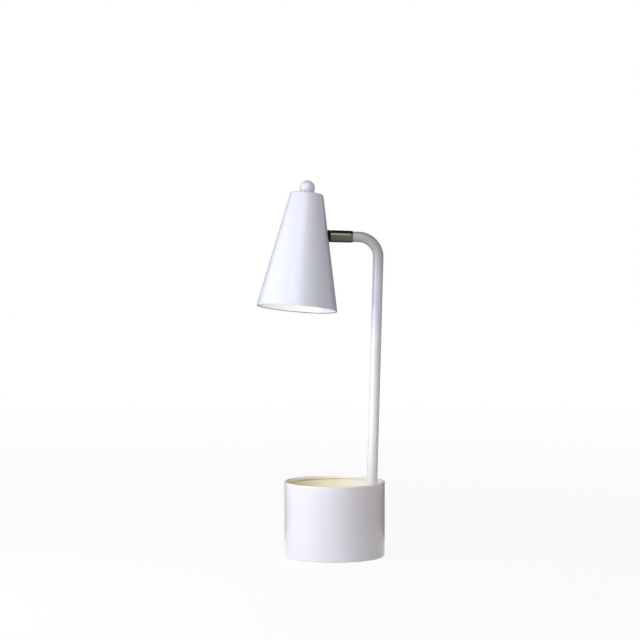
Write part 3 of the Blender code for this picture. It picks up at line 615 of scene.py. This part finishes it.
def makeFinial():
    radius, base, bore = finial["radius"], finial["base"], finial["nipple"] + finial["gap"]
    bottom, ballSteps = shade["drop"] + swivel["gap"], 40
    centre = bottom + math.sqrt(radius ** 2 - base ** 2)
    last = math.pi - math.asin(base / radius)
    angles = [last * part / ballSteps for part in range(ballSteps + 1)]
    outline = [(radius * math.sin(angle), centre + radius * math.cos(angle)) for angle in angles]
    threadEnd = bottom + finial["threadDepth"]
    outline += [(bore, bottom), (bore, threadEnd), (0, threadEnd)]
    ball = turned("ball_nut", outline, closed=False, place=atShade)
    dress(ball, whiteEnamel, "head", "finial_ball")
    top = shade["drop"] - shade["wall"] - swivel["gap"]
    washer = ring(bore, finial["washerRadius"], top, top - finial["washer"], punched[::-1])
    piece = turned("top_flat_washer", washer, sides=72, place=atShade, gap=0.2)
    dress(piece, zinc, "head", "top_washer")


holder = {
    "capTop": 47.9, "neck": 6.8, "neckHeight": 4, "thread": 4.15, "threadDepth": 7.5, "cap": 13.2,
    "capHeight": 15.5, "wall": 1.6, "shoulder": 4, "body": 14.2, "overlap": 2.6, "height": 28,
    "bore": 10.2, "lip": 12.6, "taper": 5, "round": 0.6, "topRound": 0.3, "recessRound": 0.1,
    "recessGap": 0.25, "insert": 3, "gap": 0.3, "ribs": 36, "ribDepth": 0.3, "ribSkin": 0.4,
    "ribEnds": (1, 4), "leadGap": 0.5, "leadDrill": (17, 9),
}


def makeHolder():
    neck, cap, wall, thread, body, soft = picked(holder, "neck cap wall thread body round")
    capTop, capBottom = holder["capTop"], holder["capTop"] - holder["capHeight"]
    shoulder, threadEnd = capTop - holder["neckHeight"], capTop - holder["threadDepth"]
    corners = [
        (thread, capTop, 0), (neck, capTop, soft), (neck, shoulder, soft),
        (cap, shoulder, holder["shoulder"]), (cap, capBottom, 0), (cap - wall, capBottom, 0),
        (cap - wall, shoulder - wall, holder["shoulder"] - wall), (neck, shoulder - wall, 0),
        (neck, threadEnd, 0), (thread, threadEnd, 0),
    ]
    dome = turned("holder_dome", rounded(corners, True), place=atShade)
    atLeadHole = atShade @ Matrix.Translation((0, 0, leadInlet)) @ Matrix.Rotation(quarter, 4, "Y")
    hole = plug("lead_hole", lead["radius"] + holder["leadGap"], *holder["leadDrill"], atLeadHole)
    dress(carved(dome, hole), phenolic, "head", "holder_cap")

    top = capBottom + holder["overlap"]
    ledge = capBottom - holder["gap"] - holder["insert"] - holder["gap"]
    bottom = top - holder["height"]
    taperTop, recess = bottom + holder["taper"], cap + holder["recessGap"]
    corners = [
        (recess, top, holder["recessRound"]), (body, top, holder["topRound"]),
        (body, taperTop, soft), (holder["lip"], bottom, soft), (holder["bore"], bottom, soft),
        (holder["bore"], ledge, 0), (recess, ledge, 0),
    ]
    ribLow, ribHigh = taperTop + holder["ribEnds"][0], top - holder["ribEnds"][1]

    def ribbed(radius, height, angle):  # grip flutes round the skirt
        if not ribLow < height < ribHigh or radius <= recess + holder["ribSkin"]:
            return radius
        return radius - max(0, math.cos(angle * holder["ribs"])) * holder["ribDepth"]

    skirt = turned("holder_skirt", rounded(corners, True), sides=288, place=atShade, longest=1.2,
                   reshape=ribbed)
    dress(skirt, phenolic, "head", "holder_body")


bulb = {
    "tip": 23.3, "tipRadius": 2.4, "tipHeight": 1.0, "tipRound": 0.6, "coneHeight": 2.2, "cap": 20,
    "collar": 7.8, "collarRound": 0.8, "thread": 6.8, "threadWall": 0.4, "threadRound": 0.4,
    "pitch": 2.82, "threadDepth": 0.55, "threadSkin": 0.2, "threadEnds": (3.2, 0.6),
    "threadFade": 0.8, "globe": 22.5, "glass": 0.7, "neck": 6.1, "neckDepth": 6, "neckGap": 0.3,
    "neckLength": 4, "flare": 16,
}


def makeBulb():
    tip, tipRadius, thread, wall, fadeLength = picked(
        bulb, "tip tipRadius thread threadWall threadFade")
    capBottom, threadTop = tip - bulb["cap"], tip - bulb["tipHeight"] - bulb["coneHeight"]
    collarTop, neckTop = capBottom + bulb["neckDepth"] / 3, capBottom + bulb["neckDepth"]
    inner, sealed = thread - wall, neckTop + bulb["neckGap"]
    corners = [
        (0, tip, 0), (tipRadius, tip, bulb["tipRound"]), (tipRadius, tip - bulb["tipHeight"], 0),
        (thread, threadTop, bulb["threadRound"]), (thread, collarTop, bulb["collarRound"]),
        (bulb["collar"], capBottom, 0), (bulb["collar"] - wall, capBottom, 0),
        (inner, collarTop, 0), (inner, sealed, 0), (0, sealed, 0),
    ]
    threadLow, threadHigh = capBottom + bulb["threadEnds"][0], threadTop - bulb["threadEnds"][1]

    def rolledThread(radius, height, angle):
        if radius < thread - bulb["threadSkin"] or not threadLow < height < threadHigh:
            return radius
        fade = min(1, (height - threadLow) / fadeLength, (threadHigh - height) / fadeLength)
        wave = 0.5 + 0.5 * math.cos(fullTurn * height / bulb["pitch"] - angle)
        return radius - bulb["threadDepth"] * wave * fade

    cap = turned("bulb_screw_cap", rounded(corners), closed=False, sides=72, place=atShade, gap=0.2,
                 longest=0.3, reshape=rolledThread)
    dress(cap, aluminium, "head", "bulb_cap")

    neckEnd, flareX = capBottom - bulb["neckLength"], bulb["neck"] + bulb["flare"]
    globeCentre = neckEnd - math.sqrt((bulb["globe"] + bulb["flare"]) ** 2 - flareX ** 2)
    flareAngle = math.atan2(flareX, neckEnd - globeCentre)
    flareSteps, globeSteps = 12, 40

    def skin(inset):
        line = [(bulb["neck"] - inset, neckTop)]
        flare, globe = bulb["flare"] + inset, bulb["globe"] - inset
        for part in range(flareSteps + 1):
            angle = (quarter - flareAngle) * part / flareSteps
            line.append((flareX - flare * math.cos(angle), neckEnd - flare * math.sin(angle)))
        for part in range(1, globeSteps + 1):
            angle = flareAngle + (math.pi - flareAngle) * part / globeSteps
            line.append((max(0, globe * math.sin(angle)), globeCentre + globe * math.cos(angle)))
        return line

    glass = turned("bulb_globe", skin(0) + skin(bulb["glass"])[::-1], closed=False, place=atShade)
    closeNeck(glass)
    dress(glass, opalGlass, "head", "bulb_glass")


def closeNeck(piece):  # joins the glass's two open edges at the neck's end
    shape = bmesh.new()
    shape.from_mesh(piece.data)
    bmesh.ops.bridge_loops(shape, edges=[edge for edge in shape.edges if edge.is_boundary])
    bmesh.ops.recalc_face_normals(shape, faces=shape.faces)
    shape.to_mesh(piece.data)
    shape.free()
    smoothed(piece)


lead = {"radius": 1.4, "inStem": 4, "sideGap": 0.6, "bend": 3, "tail": 4, "rise": 1.5}
leadInlet = (holder["capTop"] - holder["capHeight"] + holder["overlap"]
             + lead["radius"] + lead["sideGap"] + lead["rise"])


def makeLead():
    radius = lead["radius"]
    stand = holder["body"] + lead["sideGap"] + radius
    along = Vector((math.cos(shade["droop"]), math.sin(shade["droop"])))
    start = along * (wallOutside + wallReach - stemEnd + lead["inStem"])
    lower = along * stand / math.cos(shade["droop"])
    path = rounded([(start.x, start.y, 0), (lower.x, lower.y, lead["bend"]),
                    (stand, leadInlet, lead["bend"]),
                    (finial["nipple"] + lead["tail"] + radius, leadInlet, 0)])
    flex = swept("flex_lead", path, radius, sides=32, place=atShade)
    dress(flex, sleeving, "head", "holder_lead")


# the part of each noise's range over which one tone passes into the next
spans = {
    "drift": (0.35, 0.65), "dust": (0.7, 0.78), "cloud": (0.32, 0.68), "streak": (0.35, 0.8),
    "mottle": (0.3, 0.7), "hair": (0.55, 1.0),
}
enamelLook = {
    "colour": (0.85, 0.858, 0.93), "second": (0.83, 0.836, 0.905), "dust": (0.62, 0.61, 0.62),
    "roughness": 0.4, "specular": 0.35, "coat": 0.55, "coatRoughness": 0.12, "drift": 16,
    "driftRough": 0.1, "specks": 2600, "speckShare": 0.1, "speckRough": 0.15, "peel": 430,
    "ripple": 1900, "rippleShare": 0.12, "peelDepth": 0.000016,
}


def enamel(name, look, inside=None):
    finish = Finish(name, {"Specular IOR Level": look["specular"], "Coat Weight": look["coat"],
                           "Coat Roughness": look["coatRoughness"]})
    drift = finish.grain(look["drift"], 3)  # the slow drift of a sprayed coat
    peel = finish.grain(look["peel"], 2, rough=0.45)  # orange peel
    dust = finish.between(finish.grain(look["specks"], 1), *spans["dust"])
    colour = finish.mixed(finish.between(drift, *spans["drift"]), look["second"], look["colour"])
    if inside:
        colour = inside(finish, colour)
    colour = finish.mixed(dust * look["speckShare"], colour, look["dust"])
    rough = look["roughness"] + (drift - 0.5) * look["driftRough"] + dust * look["speckRough"]
    finish.put({"Base Color": colour, "Roughness": rough})
    finish.bumped(peel + finish.grain(look["ripple"], 1) * look["rippleShare"], look["peelDepth"])
    return finish


creamLook = {  # the masks' places are in metres
    "colour": (0.955, 0.882, 0.675), "second": (0.935, 0.856, 0.64), "mottle": 60,
    # the lip colour is a painted highlight on the top of the rolled rim
    "lip": (0.93, 0.93, 0.95), "wallMask": (0.0594, 0.0598), "rimMask": (0.0885, 0.0893),
    "lipHighlightMask": (0.0882, 0.089), "paler": (-0.012, 0.056), "palest": 0.2,
}


def creamInside(finish, outside):  # painted warm light: the cup's inner wall is tinted cream within its rim, paler towards the post
    within = finish.between(finish.length(finish.place((1, 1, 0))), *creamLook["wallMask"], 1, 0)
    below = finish.between(finish.axis("Z"), *creamLook["rimMask"], 1, 0)
    paler = finish.between(finish.axis("X"), *creamLook["paler"], 1, creamLook["palest"])
    # painted highlight: the top of the rolled rim is whiter
    lip = finish.between(finish.axis("Z"), *creamLook["lipHighlightMask"])
    outside = finish.mixed(lip, outside, creamLook["lip"])
    mottle = finish.between(finish.grain(creamLook["mottle"], 4), *spans["mottle"])
    cream = finish.mixed(mottle, creamLook["second"], creamLook["colour"])
    return finish.mixed(within * below * paler, outside, cream)


reflectorLook = {  # the blends and the edge are in millimetres
    # the grey band colour is painted shade, inside just above the rim
    "white": (0.93, 0.93, 0.935), "rimShadeGrey": (0.16, 0.16, 0.165), "edge": (0.5, 1.1),
    "skinBlend": 0.12, "topBlend": 0.1,
}


def whiteReflector(finish, outside):  # whiter inside the shade, with a grey band of painted shade just above the rim
    sockets = {0: finish.place(), 1: atShade.to_translation() * mm, 2: atShade.to_euler()}
    local = finish.node("Mapping", {"vector_type": "TEXTURE"}, sockets)
    height = finish.node("SeparateXYZ", None, {0: local}, out="Z")
    across = finish.node("VectorMath", {"operation": "MULTIPLY"}, {0: local, 1: (1, 1, 0)})
    radius = finish.length(across)
    middle = shade["top"] * mm + (shade["drop"] * mm - height) * slope - shade["wall"] * mm * 0.5
    top, rim = (shade["drop"] - shade["wall"] / 2) * mm, shade["drop"] - shade["height"]
    skinBlend, topBlend = reflectorLook["skinBlend"] * mm, reflectorLook["topBlend"] * mm
    inner = (finish.between(radius - middle, -skinBlend, skinBlend, 1, 0)
             * finish.between(height, top - topBlend, top + topBlend, 1, 0))
    # painted shade: a grey band inside, just above the rim
    edgeLow, edgeHigh = reflectorLook["edge"]
    edge = finish.between(height, (rim + edgeLow) * mm, (rim + edgeHigh) * mm, 1, 0)
    inside = finish.mixed(edge, reflectorLook["white"], reflectorLook["rimShadeGrey"])
    return finish.mixed(inner, outside, inside)


tubeLook = {  # the heights are in metres above the table
    **enamelLook, "colour": (0.865, 0.868, 0.895), "second": (0.845, 0.847, 0.875),
    # high and bend are painted shadow colours: the shade's shadow on the upper post and along the
    # arm
    "roughness": 0.36, "peel": 520, "high": (0.745, 0.75, 0.885), "highShadowFrom": (0.258, 0.29),
    "bend": (0.45, 0.465, 0.47), "bendShadowFrom": (0.322, 0.372),
}


def paintedTubeShadow(finish, outside):  # painted shadow: the shade's shadow is painted into the coat, bluer and darker high on the post, grey along the arm
    height = finish.axis("Z")
    post = finish.mixed(finish.between(height, *tubeLook["highShadowFrom"]), outside, tubeLook["high"])
    return finish.mixed(finish.between(height, *tubeLook["bendShadowFrom"]), post, tubeLook["bend"])


def metal(name, look):
    finish = Finish(name, {"Metallic": 1.0})
    streakShare = 0.6  # of the roughness; the cloud has the rest
    streak = finish.grain(look["scale"], 3, look["stretch"], rough=0.6)
    cloud = finish.grain(look["cloud"], 3)
    colour = finish.mixed(finish.between(cloud, *spans["cloud"]), look["colour"], look["second"])
    streaked = finish.between(streak, *spans["streak"]) * look["streaks"]
    colour = finish.mixed(streaked, colour, look["streak"])
    low, high = look["roughness"]
    rough = low + (high - low) * (streak * streakShare + cloud * (1 - streakShare))
    finish.put({"Base Color": colour, "Roughness": rough})
    finish.bumped(streak, look["depth"])
    return finish


def moulded(name, look):
    finish = Finish(name, look["plain"])
    cloud = finish.grain(scale=90, detail=4, twist=0.6)
    fine = finish.grain(look["scale"], 3)
    colour = finish.mixed(finish.between(cloud, *spans["mottle"]), look["colour"], look["second"])
    low, high = look["roughness"]
    finish.put({"Base Color": colour, "Roughness": low + (high - low) * fine})
    finish.bumped(fine, look["depth"])
    return finish


def felted(name, look):
    finish = Finish(name, {"Sheen Weight": 0.4, "Sheen Roughness": 0.5, "Specular IOR Level": 0.2})
    thin = 0.28  # the hairs' width against their length
    hairs, crossed = (finish.grain(look["hairs"], 4, lay, rough=0.7, twist=1.5)
                      for lay in ((1, thin, 1), (thin, 1, 1)))
    tuft = finish.grain(look["tufts"], 3)
    height = hairs * 0.5 + crossed * 0.5 + tuft * look["tuftShare"]
    colour = finish.mixed(finish.between(height, *spans["hair"]), look["colour"], look["second"])
    low, high = look["roughness"]
    finish.put({"Base Color": colour, "Roughness": low + (high - low) * tuft})
    finish.bumped(height, look["depth"])
    return finish


def braided(name, look):
    finish = Finish(name, {"Specular IOR Level": 0.35})
    bands = {"wave_type": "BANDS", "bands_direction": "DIAGONAL"}
    strands = {"Scale": look["strands"], "Distortion": 0.4}
    right, left = (
        finish.node("TexWave", bands, {"Vector": finish.place(lay), **strands}, out="Fac")
        for lay in ((1, 1, 1), (-1, -1, 1)))
    weave = mathNode("MAXIMUM", right, left)
    # painted shade: the gaps between the strands take the darker gap colour
    colour = finish.mixed(weave, look["gap"], look["colour"])
    low, high = look["roughness"]
    finish.put({"Base Color": colour, "Roughness": high - weave * (high - low)})
    finish.bumped(weave + finish.grain(look["fibres"], 2) * look["fibreShare"], look["depth"])
    return finish


def opal(name, look):
    finish = Finish(name, {
        "Roughness": look["roughness"], "Coat Weight": 0.6, "Coat Roughness": 0.04,
        "Subsurface Weight": 0.2, "Subsurface Radius": (0.004, 0.003, 0.002),
        "Emission Strength": look["glow"]})
    milk = finish.grain(look["milk"], 3)
    finish.put({"Base Color": finish.mixed(milk, look["colour"], look["second"]),
                "Emission Color": finish.mixed(milk, look["light"], look["lightSecond"])})
    finish.bumped(finish.grain(look["ripple"], 1), look["depth"])
    return finish


whiteEnamel = enamel("white_enamel", enamelLook)
shadeEnamel = enamel("shade_enamel", {**enamelLook, "colour": (0.8, 0.822, 0.95),
                                      "second": (0.782, 0.802, 0.925)}, whiteReflector)
cupEnamel = enamel("cup_enamel", enamelLook, creamInside)
tubeEnamel = enamel("tube_enamel", tubeLook, paintedTubeShadow)

blackNickel = metal("black_nickel", {
    "colour": (0.098, 0.095, 0.08), "second": (0.111, 0.107, 0.089), "streak": (0.17, 0.165, 0.14),
    "streaks": 0.25, "scale": 700, "stretch": (7, 0.5, 0.5), "cloud": 160,
    "roughness": (0.22, 0.28), "depth": 0.0000004})
zinc = metal("zinc_plate", {
    "colour": (0.56, 0.575, 0.6), "second": (0.6, 0.585, 0.53), "streak": (0.76, 0.77, 0.79),
    "streaks": 0.25, "scale": 1100, "stretch": (1, 1, 1), "cloud": 95, "roughness": (0.22, 0.48),
    "depth": 0.000014})
castIron = metal("cast_iron", {
    "colour": (0.045, 0.044, 0.045), "second": (0.075, 0.066, 0.058), "streak": (0.11, 0.1, 0.09),
    "streaks": 0.3, "scale": 520, "stretch": (1, 1, 1), "cloud": 120, "roughness": (0.55, 0.9),
    "depth": 0.00025})
brass = metal("brass", {
    "colour": (0.74, 0.53, 0.22), "second": (0.62, 0.42, 0.16), "streak": (0.86, 0.68, 0.36),
    "streaks": 0.3, "scale": 900, "stretch": (1, 1, 4), "cloud": 120, "roughness": (0.18, 0.42),
    "depth": 0.00001})
aluminium = metal("aluminium", {
    "colour": (0.78, 0.78, 0.79), "second": (0.7, 0.7, 0.71), "streak": (0.9, 0.9, 0.91),
    "streaks": 0.3, "scale": 800, "stretch": (1, 1, 5), "cloud": 120, "roughness": (0.22, 0.45),
    "depth": 0.00001})
screwSteel = metal("screw_steel", {
    "colour": (0.112, 0.108, 0.092), "second": (0.135, 0.13, 0.112), "streak": (0.24, 0.23, 0.2),
    "streaks": 0.4, "scale": 1500, "stretch": (1, 1, 1), "cloud": 400, "roughness": (0.22, 0.42),
    "depth": 0.00001})

rubber = moulded("black_rubber", {
    "colour": (0.006, 0.006, 0.006), "second": (0.011, 0.01, 0.01), "scale": 1700,
    "roughness": (0.48, 0.68), "depth": 0.00003, "plain": {"Specular IOR Level": 0.1}})
bushBlack = moulded("bush_black", {
    "colour": (0.016, 0.016, 0.017), "second": (0.024, 0.023, 0.023), "scale": 1300,
    "roughness": (0.26, 0.42), "depth": 0.00002, "plain": {"Specular IOR Level": 0.45}})
phenolic = moulded("black_phenolic", {
    "colour": (0.012, 0.011, 0.01), "second": (0.022, 0.018, 0.015), "scale": 700,
    "roughness": (0.2, 0.34), "depth": 0.00001, "plain": {"Coat Weight": 0.2}})
porcelain = moulded("glazed_porcelain", {
    "colour": (0.82, 0.8, 0.75), "second": (0.78, 0.755, 0.7), "scale": 380,
    "roughness": (0.1, 0.24), "depth": 0.00002, "plain": {"Coat Weight": 0.5}})
nylon = moulded("natural_nylon", {
    "colour": (0.76, 0.74, 0.67), "second": (0.7, 0.68, 0.6), "scale": 800,
    "roughness": (0.38, 0.55), "depth": 0.00002,
    "plain": {"Subsurface Weight": 0.2, "Subsurface Radius": (0.001, 0.001, 0.001)}})
felt = felted("charcoal_felt", {
    "colour": (0.055, 0.055, 0.06), "second": (0.15, 0.15, 0.158), "hairs": 1500, "tufts": 260,
    "tuftShare": 0.6, "roughness": (0.88, 0.98), "depth": 0.00035})
# the sleeving's gap colour is painted shade between the strands
sleeving = braided("braided_sleeving", {
    "colour": (0.82, 0.81, 0.77), "gap": (0.5, 0.48, 0.43), "strands": 240, "fibres": 3000,
    "fibreShare": 0.2, "roughness": (0.6, 0.75), "depth": 0.0002})
opalGlass = opal("opal_glass", {
    "colour": (0.93, 0.925, 0.9), "second": (0.96, 0.955, 0.94), "roughness": 0.14, "milk": 45,
    "glow": 0.8, "light": (1.0, 0.975, 0.935), "lightSecond": (1.0, 0.982, 0.95), "ripple": 150,
    "depth": 0.00002})
print("finishes mixed")

stages = {
    "pen cup": (makeCup, makeFloorLid, makeInletBush),
    "arm and swivel": (makeFoot, makeArm, makeSleeve, makeStopScrew),
    "shade, lampholder and bulb": (makeSeats, makeStem, makeStemNut, makeShade, makeFinial,
                                   makeHolder, makeBulb, makeLead),
}
for stage, makers in stages.items():
    for make in makers:
        make()
    print(stage, "made")

carriedOver = {
    "base_pad": felt, "bottom_plate": zinc, "base_weight": castIron, "foot_washer": zinc,
    "foot_nut": zinc, "friction_bush": nylon, "finial_nipple": zinc, "holder_insert": porcelain,
    "screw_shell": brass, "centre_contact": brass,
    **{f"cover_screw_{number}": zinc for number in (1, 2, 3)},
}
for nodeName, finish in carriedOver.items():
    coat(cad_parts[nodeName], finish)


studio = {
    "lamps": {
        "side_softbox": {"at": (-0.64, -0.42, 0.36), "size": (0.56, 0.46), "watts": 4.02,
                         "colour": (0.99, 0.995, 1.0)},
        "top_softbox": {"at": (-0.25, -1.25, 1.72), "size": (1.2, 0.9), "watts": 8.4,
                        "colour": (1.0, 0.99, 0.98)},
    },
    "spots": {  # narrow beams into the cup, on the post, into the shade's mouth
        "cup_spot": {"at": (-0.06, -0.75, 1.0), "aim": (-0.012, 0.06, 0.052), "watts": 22,
                     "cone": 5.6, "colour": (1.0, 0.985, 0.96)},
        "post_spot": {"at": (-0.375, -0.906, 0.2), "aim": (0.048, 0.0, 0.15), "watts": 4.8,
                      "cone": 10.5, "colour": (1.0, 0.995, 0.99)},
        "mouth_spot": {"at": (0.03, -0.27, 0.02), "aim": (-0.062, 0.03, 0.315), "watts": 2.6,
                       "cone": 15, "colour": (1.0, 1.0, 1.0)},
    },
    "soften": 0.02, "aim": (-0.01, 0.0, 0.25), "ambient": (0.3, 0.3, 0.325),
}
flag = {
    "ring": (0.11, 1.25), "sides": 64, "behind": 0.9, "middle": (-0.0175, 0.24),
    "strips": {  # half the width, near and far edge, height
        "floor": (0.5, 0.13, 0.9, 0.002),
        "roof": (1.0, -0.4, 0.9, 1.3),
    },
    "grain": 40, "colour": (0.003, 0.003, 0.003), "second": (0.006, 0.006, 0.006),
    "glow": (0.05, 0.05, 0.05), "glowSecond": (0.06, 0.06, 0.06),
}
paperFloor = {
    "radius": 9, "sides": 96, "drop": -0.0002, "grain": 3, "colour": (0.8, 0.795, 0.79),
    "second": (0.82, 0.815, 0.81), "glow": 0.93, "glowSpan": (0.25, 2.2),
    "right": (0.8, 0.655, 0.47), "rightSpan": (0.0, 0.12),
}
view = {
    "from": (-0.0175, -3.1, 0.47), "to": (-0.0175, 0, 0.283), "pixels": 640, "focalPixels": 2605,
    "sensor": 36, "farthest": 50,
}


def aimed(obj, spot, target):
    obj.location = spot
    obj.rotation_euler = (Vector(target) - Vector(spot)).to_track_quat("-Z", "Y").to_euler()
    bpy.context.scene.collection.objects.link(obj)
    return obj


def makeLight(name, kind, settings, target):
    light = bpy.data.lights.new(name, kind)
    light.energy, light.color = settings["watts"], settings["colour"]
    aimed(bpy.data.objects.new(name, light), settings["at"], target).visible_camera = False
    return light


def makeLights():
    for name, settings in studio["lamps"].items():
        lamp = makeLight(name, "AREA", settings, studio["aim"])
        lamp.shape = "RECTANGLE"
        lamp.size, lamp.size_y = settings["size"]
    for name, settings in studio["spots"].items():
        beam = makeLight(name, "SPOT", settings, settings["aim"])
        beam.spot_size, beam.spot_blend = math.radians(settings["cone"]), 1
        beam.shadow_soft_size = studio["soften"]


def makeFlags():  # black cards that only reflections see, for edges in pale paint
    shape = bmesh.new()
    middleX, middleZ = flag["middle"]
    rims = []
    for radius in flag["ring"]:
        angles = [fullTurn * side / flag["sides"] for side in range(flag["sides"])]
        spots = [(middleX + radius * math.cos(angle), flag["behind"],
                  middleZ + radius * math.sin(angle)) for angle in angles]
        rims.append([shape.verts.new(spot) for spot in spots])
    joinRings(shape, [rims])
    for half, near, far, height in flag["strips"].values():
        spots = [(-half, near), (half, near), (half, far), (-half, far)]
        shape.faces.new([shape.verts.new((x, y, height)) for x, y in spots])
    card = linked("black_flag", shape)
    cloth = Finish("flag_cloth", {"Roughness": 1.0, "Specular IOR Level": 0.0,
                                  "Emission Strength": 1.0})
    grain = cloth.grain(flag["grain"])
    cloth.put({"Base Color": cloth.mixed(grain, flag["colour"], flag["second"]),
               "Emission Color": cloth.mixed(grain, flag["glow"], flag["glowSecond"])})
    coat(card, cloth)
    card.visible_camera = card.visible_diffuse = False
    card.visible_shadow = card.visible_transmission = False


def makeWorld():
    world = bpy.data.worlds.new("white_studio")
    world.use_nodes = True
    bpy.context.scene.world = world
    room = Nodes(world.node_tree)
    usual = room.tree.nodes["Background"]
    usual.inputs["Color"].default_value = (*studio["ambient"], 1)
    white = room.node("Background", None, {"Color": (1, 1, 1, 1)})
    room.surface("World Output", room.seen(), Wire(room.tree, usual.outputs[0]), white)


def makeFloor():
    shape = bmesh.new()
    bmesh.ops.create_circle(shape, cap_ends=True, segments=paperFloor["sides"],
                            radius=paperFloor["radius"])
    floor = linked("studio_floor", shape)
    paper = Finish("studio_paper", {"Roughness": 0.9, "Specular IOR Level": 0.1})
    grain = paper.grain(paperFloor["grain"], 2)
    mottle = paper.mixed(grain, paperFloor["colour"], paperFloor["second"])
    # a tinted right side gives the cup's right side its warm bounce
    rightSide = paper.between(paper.axis("X"), *paperFloor["rightSpan"])
    paper.put({"Base Color": paper.mixed(rightSide, mottle, paperFloor["right"])})
    distance = paper.length(paper.place())
    share = paper.seen() * paper.between(distance, *paperFloor["glowSpan"], paperFloor["glow"], 1)
    usual = Wire(paper.tree, paper.shader.outputs[0])
    paper.surface("Material Output", share, usual, paper.node("Emission"))
    coat(floor, paper)
    floor.location.z = paperFloor["drop"]


def makeCamera():
    camera = bpy.data.cameras.new("photo_view")
    camera.sensor_width = view["sensor"]
    camera.lens = view["focalPixels"] / view["pixels"] * view["sensor"]
    camera.clip_end = view["farthest"]
    seat = bpy.data.objects.new("photo_view", camera)
    bpy.context.scene.camera = aimed(seat, view["from"], view["to"])


for make in (makeLights, makeFlags, makeWorld, makeFloor, makeCamera):
    make()
bpy.context.scene.view_settings.view_transform = "Standard"
print("studio set")
